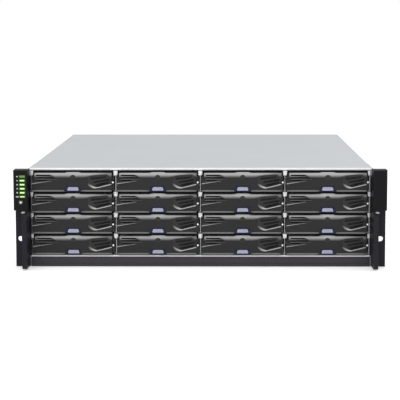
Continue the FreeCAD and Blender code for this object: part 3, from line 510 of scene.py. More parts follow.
def make_height_group() -> bpy.types.NodeTree:
    """Whether a place is beside the housing of an ear's cover, which starts 71 to 77 mm up.

    Returns:
        A group that gives nothing below the housing and one beside it, from the object's own Z.
    """
    tree, _, result = group("height_share", {}, {"Share": "NodeSocketFloat"})
    place = tree.add("SeparateXYZ", {"Vector": tree.add("TexCoord").outputs["Object"]}).outputs["Z"]
    rise = tree.add("MapRange", {"Value": place, "From Min": 71 * MM, "From Max": 77 * MM})
    tree.link(rise.outputs[0], result.inputs["Share"])
    return tree.tree


@dataclass(frozen=True)
class Finish:
    """One finish, with the record's slot it belongs to.

    Args:
        name: of the material.
        slot: of the record; not used.
        colour: in linear light.
        roughness: at its mean.
        metallic: 0 or 1 as a rule.
        grain: scale of the fine noise, in grains to the metre.
        variation: how far colour and roughness swing.
        bump: height of the grain in metres.
        edge: strength of the painted highlight along the edges.
        edge_colour: the lighter colour of that painted highlight.
        drawn: strength of rolled lines.
        glow: strength of the light it gives, in its own colour; on the bay floor's hem and the mute button's
            glint it is painted light.
        coat: weight of a clear coat.
        shine: level of the surface's plain reflection, where one half is usual.
        fade: the colour where the mesh's own shade falls to nothing, or None.
        upper: the darker colour of painted shade beside the housing of an ear's cover, or None.
    """

    name: str
    slot: str
    colour: Colour
    roughness: float = 0.45
    metallic: float = 0.0
    grain: float = 2500.0
    variation: float = 0.08
    bump: float = 0.00002
    edge: float = 0.0
    edge_colour: Colour = (0.3, 0.3, 0.3)
    drawn: float = 0.0
    glow: float = 0.0
    coat: float = 0.0
    shine: float = 0.5
    fade: Colour | None = None
    upper: Colour | None = None

    def build(self, groups: dict[str, bpy.types.NodeTree]) -> bpy.types.Material:
        """Make the material.

        Args:
            groups: the shared node groups by name.

        Returns:
            The material.
        """
        material = bpy.data.materials.new(self.name)
        material.use_nodes = True
        tree = NodeTree(material.node_tree)
        output = tree.add("OutputMaterial")
        shader = tree.add("BsdfPrincipled")
        grain = tree.add("Group", node_tree=groups["surface_grain"])
        grain.inputs["Colour"].default_value = (*self.colour, 1)
        grain.inputs["Roughness"].default_value = self.roughness
        grain.inputs["Grain"].default_value = self.grain
        grain.inputs["Variation"].default_value = self.variation
        # The shade attribute mixes a painted highlight or painted shade into the flap's overlays.
        if self.fade:
            share = tree.add("Attribute", attribute_name="shade").outputs["Fac"]
            tree.link(tree.mixed(share, (*self.fade, 1), (*self.colour, 1)), grain.inputs["Colour"])
        # Painted shade: the colour darkens beside the ear's housing.
        if self.upper:
            share = tree.add("Group", node_tree=groups["height_share"]).outputs["Share"]
            tree.link(tree.mixed(share, (*self.colour, 1), (*self.upper, 1)), grain.inputs["Colour"])
        colour, height = grain.outputs["Colour"], grain.outputs["Height"]
        if self.drawn:
            lines = tree.add("Group", node_tree=groups["drawn_lines"]).outputs["Value"]
            swing = tree.maths("MULTIPLY", tree.maths("SUBTRACT", lines, 0.5), self.drawn)
            colour = tree.scaled(colour, tree.maths("ADD", swing, 1.0))
            height = tree.maths("ADD", height, lines)
        bump = tree.add("Bump", {"Height": height, "Strength": 0.6, "Distance": self.bump})
        # Painted highlight: a lighter colour is mixed in along the edges.
        if self.edge:
            glint = tree.add("Group", node_tree=groups["edge_glint"])
            glint.inputs["Strength"].default_value = self.edge
            colour = tree.mixed(glint.outputs["Mask"], colour, (*self.edge_colour, 1))
            tree.link(glint.outputs["Normal"], bump.inputs["Normal"])
        tree.link(colour, shader.inputs["Base Color"])
        tree.link(grain.outputs["Roughness"], shader.inputs["Roughness"])
        tree.link(bump.outputs[0], shader.inputs["Normal"])
        shader.inputs["Metallic"].default_value = self.metallic
        shader.inputs["Coat Weight"].default_value = self.coat
        shader.inputs["Specular IOR Level"].default_value = self.shine
        if self.glow:
            tree.link(colour, shader.inputs["Emission Color"])
            shader.inputs["Emission Strength"].default_value = self.glow
        tree.link(shader.outputs[0], output.inputs["Surface"])
        return material


class Finishes(Enum):
    """Every finish of the shelf."""

    COVER = Finish("cover_zinc", "cover_steel", (0.56, 0.585, 0.605), 0.5, 0.3, 1400, 0.03, drawn=0.05)
    CHASSIS = Finish("chassis_zinc", "chassis_steel", (0.42, 0.43, 0.45), 0.45, 0.7, 1400, 0.05, drawn=0.08)
    # Where edge is set, on the bay, sill, ear, flap and module finishes, the edges carry a painted highlight.
    BAY = Finish(
        "bay_zinc", "bay_steel", (0.6, 0.6, 0.62), 0.4, 0.6, 1400, 0.05,
        edge=0.6, edge_colour=(0.95, 0.95, 0.95),
    )
    # Painted highlight: a near white copy of the bay zinc, for the glints on tabs, the lid's hem and port
    # shells.
    ZINC_HIGHLIGHT = Finish("zinc_painted_highlight", "bay_steel", (0.93, 0.93, 0.94), 0.3, 0.3, 1600, 0.03)
    SILL = Finish(
        "sill_paint", "sill_paint", (0.046, 0.043, 0.052), 0.42, 0.0, 1800, 0.1,
        edge=0.5, edge_colour=(0.16, 0.15, 0.18), shine=0.2,
    )
    # Painted shade: the ear is drawn darker beside the housing of its cover.
    EAR = Finish(
        "ear_black", "ear_plastic", (0.0135, 0.013, 0.0175), 0.4, 0.0, 3000, 0.12, 0.00003,
        edge=0.6, edge_colour=(0.07, 0.07, 0.08), shine=0.16, upper=(0.003, 0.0029, 0.004),
    )
    FLAP = Finish(
        "flap_charcoal", "flap_plastic", (0.0235, 0.0235, 0.024), 0.42, 0.0, 3200, 0.12, 0.00003,
        edge=0.5, edge_colour=(0.1, 0.1, 0.1), shine=0.16,
    )
    # Painted highlight: the light that the band's upward face catches, fading into the flap's dark.
    BAND_HIGHLIGHT = Finish(
        "band_painted_highlight", "flap_plastic", (0.42, 0.415, 0.42), 0.4, 0.0, 2600, 0.06,
        shine=0.3, fade=(0.03, 0.03, 0.03),
    )
    # Painted highlight: the light along the wing's crease.
    CREASE_HIGHLIGHT = Finish("crease_painted_highlight", "flap_plastic", (0.31, 0.31, 0.31), 0.4, 0.0, 2600, 0.06, shine=0.3)
    # Painted highlight: the light line along the flap's foot.
    FOOT_HIGHLIGHT = Finish("foot_painted_highlight", "flap_plastic", (0.165, 0.165, 0.165), 0.4, 0.0, 2600, 0.06, shine=0.3)
    # Painted shade: the slots fade to near black.
    LOUVRE = Finish(
        "louvre_grey_painted_shade", "flap_plastic", (0.03, 0.03, 0.03), 0.4, 0.0, 2600, 0.08,
        shine=0.2, fade=(0.0005, 0.0005, 0.0005),
    )
    # Painted highlight: the light lines under the wing's grooves.
    GROOVE_HIGHLIGHT = Finish("groove_painted_highlight", "flap_plastic", (0.16, 0.16, 0.16), 0.4, 0.0, 2600, 0.08, shine=0.3)
    # Painted highlight: the light caught by the scoop's rolled lip.
    LIP_HIGHLIGHT = Finish(
        "lip_painted_highlight", "flap_plastic", (0.46, 0.46, 0.45), 0.33, 0.0, 2600, 0.06,
        fade=(0.03, 0.03, 0.03),
    )
    # Partly painted shade: the button's blue plastic, drawn dark as if shaded in its dish.
    NAVY_SHADED = Finish("navy_surround_painted_shade", "flap_plastic", (0.012, 0.013, 0.04), 0.4, 0.0, 2600, 0.1, shine=0.2)
    LOCK = Finish("lock_brown", "flap_plastic", (0.022, 0.021, 0.016), 0.35, 0.0, 2600, 0.1, shine=0.3)
    # Painted shade: near black, standing in for the dark inside grooves, holes, ports and vents.
    SHADE_BLACK = Finish("painted_shade_black", "flap_plastic", (0.004, 0.004, 0.004), 0.6, 0.0, 2600, 0.1, shine=0.05)
    BUTTON = Finish("lavender_blue", "button_blue", (0.36, 0.38, 0.5), 0.35, 0.0, 3000, 0.06, coat=0.2)
    TRAY = Finish("tray_metal", "tray_and_disk", (0.1, 0.102, 0.11), 0.5, 0.4, 1500, 0.15)
    DISK = Finish("disk_cast", "tray_and_disk", (0.4, 0.405, 0.41), 0.38, 0.75, 1300, 0.07, drawn=0.06)
    LED = Finish("tray_light", "green_lens", (0.8, 0.82, 0.74), 0.3, 0.0, 1500, 0.01, glow=0.25)
    LENS = Finish("status_green", "green_lens", (0.13, 0.22, 0.07), 0.25, 0.0, 1500, 0.3, glow=0.22)
    CORE = Finish("status_core", "green_lens", (0.62, 0.9, 0.36), 0.25, 0.0, 1500, 0.1, glow=0.6)
    HALO = Finish(
        "status_halo", "ear_plastic", (0.006, 0.034, 0.001), 0.35, 0.0, 2400, 0.1,
        glow=0.35, shine=0.08,
    )
    # Painted highlight: a glowing star for the glint on the mute button.
    MUTE_GLINT = Finish("mute_painted_glint", "button_black", (1.0, 0.93, 0.72), 0.3, 0.0, 1500, 0.01, glow=0.6)
    MUTE = Finish(
        "mute_black", "button_black", (0.02, 0.018, 0.016), 0.25, 0.0, 2000, 0.05,
        coat=0.4, shine=0.2,
    )
    MARK = Finish("white_mark", "ear_plastic", (0.6, 0.6, 0.65), 0.5, 0.0, 2000, 0.03)
    SCREW = Finish("screw_nickel", "bay_steel", (0.6, 0.59, 0.62), 0.3, 0.9, 1500, 0.05)
    STUD = Finish("stud_grey", "bay_steel", (0.36, 0.35, 0.38), 0.35, 0.6, 1500, 0.05)
    # Painted highlight: a glowing white line for the light on the bay floor's edge.
    HEM_HIGHLIGHT = Finish("hem_painted_highlight", "bay_steel", (0.95, 0.95, 0.96), 0.3, 0.1, 1600, 0.02, glow=0.12)
    MODULE = Finish(
        "module_zinc", "module_metal", (0.5, 0.51, 0.54), 0.42, 0.8, 1400, 0.06,
        drawn=0.08, edge=0.4, edge_colour=(0.85, 0.85, 0.85),
    )
    BLACK = Finish("module_black", "ear_plastic", (0.012, 0.012, 0.013), 0.45, 0.0, 2600, 0.1, shine=0.25)
    BOARD = Finish("board_green", "circuit_board", (0.012, 0.1, 0.045), 0.4, 0.0, 900, 0.25)


class Workshop:
    """Turns skins into Blender pieces and dresses them."""

    def __init__(self) -> None:
        """Build the node groups, which every material shares."""
        self.groups = {
            "surface_grain": make_grain_group(),
            "edge_glint": make_edge_group(),
            "drawn_lines": make_drawn_group(),
            "height_share": make_height_group(),
        }
        self.materials: dict[Finishes, bpy.types.Material] = {}
        self.pieces: list[str] = []

    def material(self, finish: Finishes) -> bpy.types.Material:
        """The material of a finish, built when it is first asked for.

        Args:
            finish: which one.

        Returns:
            The material.
        """
        if finish not in self.materials:
            self.materials[finish] = finish.value.build(self.groups)
        return self.materials[finish]

    def mesh(
        self, name: str, skin: Skin, sharp: float = 38.0, shade: Callable[[Array], Array] | None = None
    ) -> bpy.types.Mesh:
        """Make a closed mesh whose doubles are merged and whose faces point outwards.

        Corners that agree to MERGE_DIGITS digits of a millimetre become one.

        Args:
            name: of the mesh.
            skin: in millimetres.
            sharp: the sharpest angle, in degrees, that is still shaded smooth.
            shade: gives every corner, in millimetres, its share of the finish's main colour.

        Returns:
            The mesh, in metres.
        """
        spots, which = np.unique(np.round(skin.points, MERGE_DIGITS), axis=0, return_inverse=True)
        faces = which.reshape(-1)[skin.faces]
        whole = (faces != np.roll(faces, 1, axis=1)).all(axis=1)
        mesh = bpy.data.meshes.new(name)
        mesh.from_pydata(spots * MM, [], faces[whole])
        work = bmesh.new()
        work.from_mesh(mesh)
        bmesh.ops.recalc_face_normals(work, faces=work.faces)
        work.to_mesh(mesh)
        work.free()
        mesh.polygons.foreach_set("use_smooth", np.ones(len(mesh.polygons), bool))
        mesh.set_sharp_from_angle(angle=math.radians(sharp))
        if shade is not None:
            corners = np.empty(len(mesh.vertices) * 3, np.float32)
            mesh.vertices.foreach_get("co", corners)
            layer = mesh.attributes.new("shade", "FLOAT", "POINT")
            layer.data.foreach_set("value", shade(corners.reshape(-1, 3) / MM).astype(np.float32))
        return mesh

    def piece(
        self, name: str, mesh: bpy.types.Mesh, finish: Finishes, body: str, offset: Spot = (0, 0, 0)
    ) -> bpy.types.Object:
        """Put a mesh into the scene.

        Args:
            name: of the piece.
            mesh: in metres. It is copied when it is moved.
            finish: its finish.
            body: the CAD body it rides on.
            offset: in millimetres, put into the mesh's own corners.

        Returns:
            The object, at the origin.
        """
        if any(offset):
            mesh = mesh.copy()
            mesh.transform(Matrix.Translation([part * MM for part in offset]))
        mesh.materials.clear()
        mesh.materials.append(self.material(finish))
        item = bpy.data.objects.new(name, mesh)
        bpy.context.scene.collection.objects.link(item)
        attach(item, body)
        self.pieces.append(name)
        return item

    def fixed(self, name: str, skin: Skin, finish: Finishes, body: str) -> None:
        """Put a skin that stands in the shelf's own frame into the scene."""
        self.piece(name, self.mesh(name, skin), finish, body)

    def dress(self, frame: dict, node: str, finish: Finishes) -> None:
        """Give a CAD node its finish.

        Args:
            frame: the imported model.
            node: its name.
            finish: which one.
        """
        mesh = frame["nodes"][node].data
        mesh.materials.clear()
        mesh.materials.append(self.material(finish))


def box_mm(node: str) -> tuple[Array, Array]:
    """The lowest and highest corners of a CAD node, in millimetres."""
    low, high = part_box(node)
    return np.array(low) / MM, np.array(high) / MM


# ---------------------------------------------------------------- sub-assemblies


@dataclass(frozen=True)
class Groove:
    """One groove over the wing of a flap: a dark block of painted shade, with a painted highlight line under
    it.

    Args:
        low: Z of the foot of its floor.
        high: Z of the top of its floor.
        end: X where it runs out.
        edge: Z of the middle of the painted highlight line.
        half: half the edge's width where it starts.
    """

    low: float
    high: float
    end: float
    edge: float
    half: float


@dataclass(frozen=True)
class Slot:
    """One sunk slot of the scoop's floor: a straight band that rises to the right.

    Args:
        left: X where it starts.
        low: Z of its middle there.
        right: X where it ends.
        high: Z of its middle there.
        half: half its height.
    """

    left: float
    low: float
    right: float
    high: float
    half: float

    def depth(self, across: Array, up: Array) -> Array:
        """How deep places lie in the slot.

        The depth is smooth(1.25 * (1 - distance / half)), where the distance is taken up or down from the
        slot's middle, times a ramp 3 long at the left end and one 1.5 long at the right.

        Args:
            across: X of each place.
            up: Z of each place.

        Returns:
            Nothing outside the slot, one along its middle.
        """
        middle = self.low + (self.high - self.low) * (across - self.left) / (self.right - self.left)
        ends = np.clip((across - self.left) / 3.0, 0, 1) * np.clip((self.right - across) / 1.5, 0, 1)
        return smooth(1.25 * (1 - np.abs(up - middle) / self.half)) * ends


@dataclass
class TrayFront:
    """What dresses a tray's moulded flap, in the flap's own frame: from its lower left front corner.

    A Curve is a broken line: its places, mostly along X, and the value at each place.

    Args:
        width: of the flap.
        height: of the flap beside the crown.
        centre: X of the crown, lock and release button.
        lip_depth: Y from the flap's foremost lip back to its face.
        crown_rise: how much higher the flap stands above the lock.
        crown_half: half the width of the crown's level part.
        crown_ramp: length of the ramp on each side of it.
        notch: width of the flap's cut for the catch tab.
        bevel_depth: Y over which the flap's top edge goes back.
        band_inset: how far the band stays inside the notch's side and the flap's right side.
        bulge_half: half the width of the band's upright part, in front of the lock.
        bulge_ramp: length over which the band becomes upright.
        band_proud: how far the band's foot stands in front of the flap's face.
        band_foot: Z of the band's foot.
        band_reach: over what height the band's painted highlight grows, for each height of the band.
        band_light: share of the painted highlight colour along the band.
        lip_ends: X of the ends of the scoop's lip.
        lip_middle: Z of the lip's middle: a bowl, then a straight rise to the right.
        lip_half: half the lip's width, wide in the bowl and thin along the rise.
        lip_fade: X where the lip's painted highlight starts to grow, and over what length.
        floor_ends: X of the ends of the scoop's floor.
        floor_top: the highest Z that the floor reaches for under the band.
        floor_depth: Y of the floor's left end, how much deeper it becomes, and over what length.
        floor_back: Y of the floor's hidden side.
        slot_depth: how far a slot is sunk into the floor.
        scoop_slots: the slots of the scoop's floor.
        wing_ends: X of the crease's start and its length.
        wing_low: Z where the crease's line meets X = 0.
        wing_angle: of the crease, in degrees.
        wing_half: half the crease's width at its start and at its end.
        groove_start: X where the grooves' floors start.
        groove_proud: how far those floors stand in front of the face.
        groove_back: Y of their hidden side.
        wing_grooves: the grooves over the wing.
        foot_high: Z of the roll along the flap's foot.
        foot_half: half the roll's height.
        foot_ends: from the flap's left and right side to the roll's ends.
        foot_gap: half the gap in the roll around the release button.
        lock_high: Z of the bay lock's middle.
        dish: half widths of the dark surround at its foot and top, and its height.
        dish_floor: Y of the front and the back of the surround.
        pad_half: half the release button's width at its foot.
        pad_half_top: half its width at its top.
        pad_low: Z of its foot.
        pad_high: Z of its top.
        pad_play: gap between the button and the surround.
        ridge_high: Z of the highest grip ridge.
        ridge_pitch: from each ridge down to the next.
        ridge_halves: half the length of each ridge.
    """

    width: float = 104.5
    height: float = 24.6
    centre: float = 53.9
    lip_depth: float = 0.7
    crown_rise: float = 0.9
    crown_half: float = 7.0
    crown_ramp: float = 4.0
    notch: float = 3.4
    bevel_depth: float = 3.0
    band_inset: Flat = (0.3, 0.2)
    bulge_half: float = 6.5
    bulge_ramp: float = 2.0
    band_proud: float = 0.25
    band_foot: Curve = (
        (5.2, 6.2, 24.0, 30.0, 68.0, 73.0, 78.0, 85.0, 92.0, 98.5, 100.5, 102.0),
        (18.7, 22.2, 22.2, 18.6, 18.6, 19.4, 20.9, 21.9, 22.5, 22.7, 20.4, 19.4),
    )
    band_reach: Curve = ((2.5, 6.0), (0.7, 3.9))
    band_light: Curve = (
        (3.5, 5.5, 30.0, 74.0, 85.0, 92.0, 97.0, 99.5),
        (0.6, 0.9, 1.0, 1.0, 0.8, 0.6, 0.5, 0.42),
    )
    lip_ends: Flat = (73.2, 104.2)
    lip_middle: Curve = (
        (73.0, 74.0, 76.0, 78.0, 80.0, 82.0, 84.0, 85.5, 88.0, 104.5),
        (11.2, 10.0, 8.4, 7.1, 6.2, 5.6, 5.3, 5.4, 5.95, 9.95),
    )
    lip_half: Curve = ((73.2, 76.0, 78.5, 82.0, 86.0, 103.0, 104.2), (0.5, 1.5, 1.5, 1.1, 0.6, 0.66, 0.15))
    lip_fade: Flat = (72.5, 9.0)
    floor_ends: Flat = (73.5, 102.9)
    floor_top: float = 22.3
    floor_depth: Spot = (0.05, 0.85, 7.5)
    floor_back: float = 2.3
    slot_depth: float = 1.3
    scoop_slots: tuple[Slot, ...] = (
        Slot(76.0, 16.8, 98.0, 19.3, 1.35),
        Slot(80.0, 12.3, 102.0, 16.1, 1.55),
        Slot(82.5, 7.8, 101.5, 12.1, 1.75),
    )
    wing_ends: Flat = (0.6, 29.4)
    wing_low: float = 10.5
    wing_angle: float = 9.0
    wing_half: Flat = (0.64, 0.08)
    groove_start: float = 6.0
    groove_proud: float = 0.3
    groove_back: float = 1.4
    wing_grooves: tuple[Groove, ...] = (
        Groove(20.9, 22.15, 24.5, 20.1, 0.72),
        Groove(17.75, 18.9, 31.5, 16.6, 0.42),
        Groove(14.4, 15.5, 20.0, 13.95, 0.2),
    )
    foot_high: float = 1.4
    foot_half: float = 1.1
    foot_ends: Flat = (0.8, 0.2)
    foot_gap: float = 11.2
    lock_high: float = 18.7
    dish: Spot = (10.9, 9.3, 7.9)
    dish_floor: Flat = (0.75, 1.25)
    pad_half: float = 7.7
    pad_half_top: float = 6.4
    pad_low: float = 1.5
    pad_high: float = 6.2
    pad_play: float = 0.3
    ridge_high: float = 4.9
    ridge_pitch: float = 1.15
    ridge_halves: Spot = (3.9, 4.3, 4.7)

    def band_edges(self, across: Array) -> tuple[Array, Array]:
        """Foot and top of the band.

        The top is height + crown_rise * smooth(crown), where crown falls from one to nothing over the
        ramp. The foot is high above the grooves and the scoop, and low between them and at both ends.

        Args:
            across: X of each place.

        Returns:
            Z of the foot and of the top at each place.
        """
        crown = (self.crown_half + self.crown_ramp - np.abs(across - self.centre)) / self.crown_ramp
        return np.interp(across, *self.band_foot), self.height + self.crown_rise * smooth(crown)

    def band(self) -> Skin:
        """The crowned band along the top, which carries a painted highlight.

        From its foot to its top edge the face is a quarter of an ellipse. In front of the bay lock it
        stays near the flap's face for longer, as the third power of the same curve. Two more points
        close it behind.

        Returns:
            The closed band.
        """
        left, right = self.band_inset
        across = np.linspace(self.notch + left, self.width - right, 142)
        foot, top = self.band_edges(across)
        angle = np.linspace(0, math.pi / 2, 11)
        deep = self.bevel_depth + 0.3
        upright = np.clip((self.bulge_half - np.abs(across - self.centre)) / self.bulge_ramp, 0, 1)
        power = 1 + 2 * upright[:, None]
        curve = -self.band_proud + deep * (1 - np.cos(angle))[None, :] ** power
        back = np.repeat(np.array([[deep - 0.4, 0.15]]), len(across), axis=0)
        depth = np.hstack([curve, back])
        share = np.concatenate([np.sin(angle), [0.86, 0.0]])
        up = foot[:, None] + (top - foot)[:, None] * share[None, :]
        return tube_of(np.stack([np.repeat(across[:, None], depth.shape[1], 1), depth, up], -1))

    def band_shade(self, spots: Array) -> Array:
        """How much painted highlight the band carries.

        It fades into the flap's face at its foot, as climb to the power 1.4, over a length that shrinks
        where the band is low, and it is darker towards both ends.

        Args:
            spots: X, Y and Z of each corner.

        Returns:
            The share of the main colour at each corner.
        """
        foot, top = self.band_edges(spots[:, 0])
        climb = np.clip((spots[:, 2] - foot) / np.interp(top - foot, *self.band_reach), 0, 1)
        return climb**1.4 * np.interp(spots[:, 0], *self.band_light)

    def lip(self) -> Skin:
        """The rolled lip of the scoop, in a painted highlight.

        Its path is the lip_middle curve, with every height replaced by the mean of five.

        Returns:
            The closed lip.
        """
        across = np.linspace(*self.lip_ends, 56)
        heights = np.pad(np.interp(across, *self.lip_middle), 2, mode="edge")
        path = level_path(across, 0.2, 0.0)
        path[:, 2] = np.convolve(heights, np.full(5, 0.2), mode="valid")
        half = np.interp(across, *self.lip_half)
        return bead(path, half, 0.6 + 0.25 * half, sides=12)

    def lip_shade(self, spots: Array) -> Array:
        """How much painted highlight the lip carries: it fades in from the dark at its left end."""
        start, length = self.lip_fade
        return np.clip((spots[:, 0] - start) / length, 0.0, 1.0) ** 1.2

    def sunk(self, across: Array, up: Array) -> Array:
        """How deep places lie in any slot of the scoop's floor, from nothing to one."""
        return np.maximum.reduce([slot.depth(across, up) for slot in self.scoop_slots])

    def louvres(self) -> Skin:
        """The scoop's floor: rounded slats between sunk slots.

        A grid from the middle of the lip to just over the band's foot. Its depth is crest + slot_depth *
        sunk, and the crest comes forward to the flap's face at the left.

        Returns:
            The closed floor.
        """
        left, right = self.floor_ends
        across = np.repeat(np.linspace(left, right, 54)[:, None], 66, axis=1)
        share = np.linspace(0, 1, 66)[None, :]
        foot, _ = self.band_edges(across[:, 0])
        low = np.interp(across[:, 0], *self.lip_middle)[:, None]
        high = np.minimum(foot, self.floor_top)[:, None] + 0.1
        up = low + (high - low) * share
        start, drop, length = self.floor_depth
        crest = start + drop * np.clip((across - left) / length, 0, 1)
        front = np.stack([across, crest + self.slot_depth * self.sunk(across, up), up], -1)
        back = front[:, ::-11].copy()
        back[..., 1] = self.floor_back
        return tube_of(np.concatenate([front, back], axis=1))

    def louvre_shade(self, spots: Array) -> Array:
        """How much of the slat colour the scoop's floor keeps: painted shade darkens the slots."""
        return (1 - self.sunk(spots[:, 0], spots[:, 2])) ** 2

    def wing(self) -> Skin:
        """The wing's crease as a painted highlight line, thinning towards the middle of the flap.

        It rises at the wing's angle, with a share of up to 0.12 taken off towards its end. Its half width
        falls as the power 1.3 of what is left of its length.

        Returns:
            The closed crease.
        """
        t = np.linspace(0, 1, 18)
        across = self.wing_ends[0] + self.wing_ends[1] * t
        path = level_path(across, 0.1, 0.0)
        path[:, 2] = self.wing_low + across * math.tan(math.radians(self.wing_angle)) * (1 - 0.12 * t)
        start, end = self.wing_half
        return bead(path, start * (1 - t) ** 1.3 + end, 0.3 * (1 - t) + 0.05)

    def grooves(self) -> tuple[Skin, Skin]:
        """The grooves over the wing.

        Returns:
            The dark blocks of painted shade in all grooves, and the painted highlight lines under them, which
            thin out to the right.
        """
        floors, edges = [], []
        for groove in self.wing_grooves:
            low = (self.groove_start, -self.groove_proud, groove.low)
            floors.append(rounded_block(low, (groove.end, self.groove_back, groove.high), 0.25, 2))
            across = np.linspace(self.groove_start - 0.8, groove.end + 1.5, 9)
            half = groove.half * np.linspace(1.0, 0.3, 9)
            edges.append(bead(level_path(across, 0.0, groove.edge), half, np.full(9, 0.3)))
        return joined(floors), joined(edges)

    def foot(self) -> Skin:
        """The roll along the flap's foot, in a painted highlight.

        Returns:
            Two closed lengths, left and right of the release button, each a little thinner at its ends.
        """
        left, right = self.foot_ends
        spans = ((left, self.centre - self.foot_gap), (self.centre + self.foot_gap, self.width - right))
        rolls = []
        for start, end in spans:
            half = np.full(8, self.foot_half)
            half[[0, -1]] = 0.7
            path = level_path(np.linspace(start, end, 8), -0.1, self.foot_high)
            rolls.append(bead(path, half, np.full(8, 1.0), sides=12))
        return joined(rolls)

    def lock(self) -> Skin:
        """The bay lock's turned face: a rim, a dished floor and a raised hub.

        Returns:
            The closed face.
        """
        rim = [(3.7, 0.4), (3.75, -0.1), (3.5, -0.5), (3.1, -0.6)]
        hub = [(2.7, -0.45), (1.3, -0.4), (1.1, -0.6), (0.3, -0.62)]
        return lathe(np.array(rim + hub), (self.centre, 0.0, self.lock_high), sides=28)

    def trapezium(self, half: float, half_top: float, low: float, high: float) -> list[Flat]:
        """Corners, in X and Z, of a shape about the flap's centre that is wider at its foot."""
        corners = ((-half, low), (half, low), (half_top, high), (-half_top, high))
        return [(self.centre + side, up) for side, up in corners]

    def surround(self) -> Skin:
        """The navy frame around the release button, on the floor of its dish: blue plastic, darkened by
        painted shade of the dish.

        Returns:
            The closed frame.
        """
        foot, top, high = self.dish
        play = self.pad_play
        outer = self.trapezium(foot, top, 0.0, high)
        inner = self.trapezium(self.pad_half + play, self.pad_half_top + play, 0.7, self.pad_high + play)
        return ring_plate(rounded_outline(outer, 1.1), rounded_outline(inner, 1.0), *self.dish_floor)

    def button(self) -> tuple[Skin, Skin]:
        """The release button.

        Returns:
            The pillow of its face, and its three grip ridges.
        """
        outline = self.trapezium(self.pad_half, self.pad_half_top, self.pad_low, self.pad_high)
        steps = [(1.0, 3.4), (1.0, 1.15), (0.985, 0.92), (0.94, 0.78), (0.8, 0.72), (0.5, 0.7)]
        ridges = []
        for step, half in enumerate(self.ridge_halves):
            width = np.full(7, 0.26)
            width[[0, -1]] = 0.08
            across = self.centre + np.linspace(-half, half, 7)
            path = level_path(across, 0.72, self.ridge_high - self.ridge_pitch * step)
            ridges.append(bead(path, width, np.full(7, 0.2)))
        return cushion(rounded_outline(outline, 1.5, 5), steps), joined(ridges)


@dataclass
class DiskCover:
    """The stamped cover on a tray's disk, from the front left corner of the disk's top.

    Args:
        width: of the disk.
        margin: from the disk's sides to the cover's.
        start: Y of the cover's front.
        length: of the cover, front to back.
        spindle: X and Y of the hub over the platters.
        pivot: X and Y of the hub over the arm.
        corner: how far the round corners reach.
        screw_inset: from the cover's edges to the middles of its screws.
    """

    width: float = 101.6
    margin: float = 5.2
    start: float = 5.2
    length: float = 130.0
    spindle: Flat = (50.8, 50.0)
    pivot: Flat = (26.0, 113.0)
    corner: float = 7.0
    screw_inset: float = 4.5

    def stood_up(self, skin: Skin) -> Skin:
        """Swap Y and Z, so that a shape made facing the front faces up."""
        return Skin(skin.points[:, [0, 2, 1]], skin.faces)

    def plate(self) -> Skin:
        """The cover: a thin plate with round corners, a raised ring over the platters and two hubs.

        Returns:
            The closed shells, facing up.
        """
        corners = rectangle(self.margin, self.start, self.width - self.margin, self.start + self.length)
        shapes = [cushion(rounded_outline(corners, self.corner, 6), [(1.0, -0.1), (1.0, 0.1), (0.99, 0.18)])]
        ring = np.array([(39.0, 0.1), (38.2, 0.27), (37.2, 0.32), (36.2, 0.27), (35.4, 0.1)])
        shapes.append(lathe(ring, (self.spindle[0], 0, self.spindle[1]), sides=56))
        for spot, radius in ((self.spindle, 12.0), (self.pivot, 8.0)):
            hub = np.array([(radius, 0.1), (radius - 0.4, 0.28), (radius - 1.0, 0.32), (0.4, 0.32)])
            shapes.append(lathe(hub, (spot[0], 0, spot[1]), sides=36))
        return self.stood_up(joined(shapes))

    def screws(self) -> Skin:
        """The cover's low screw heads, each with a sunk socket: three along each side.

        Returns:
            The closed heads, facing up.
        """
        head = np.array([(2.3, 0.1), (2.3, 0.3), (2.0, 0.4), (0.9, 0.4), (0.85, 0.22), (0.1, 0.2)])
        inset = self.screw_inset
        shapes = []
        for across in (self.margin + inset, self.width - self.margin - inset):
            for step in range(3):
                along = self.start + inset + step * (self.length - 2 * inset) / 2
                shapes.append(lathe(head, (across, 0, along), sides=14))
        return self.stood_up(joined(shapes))


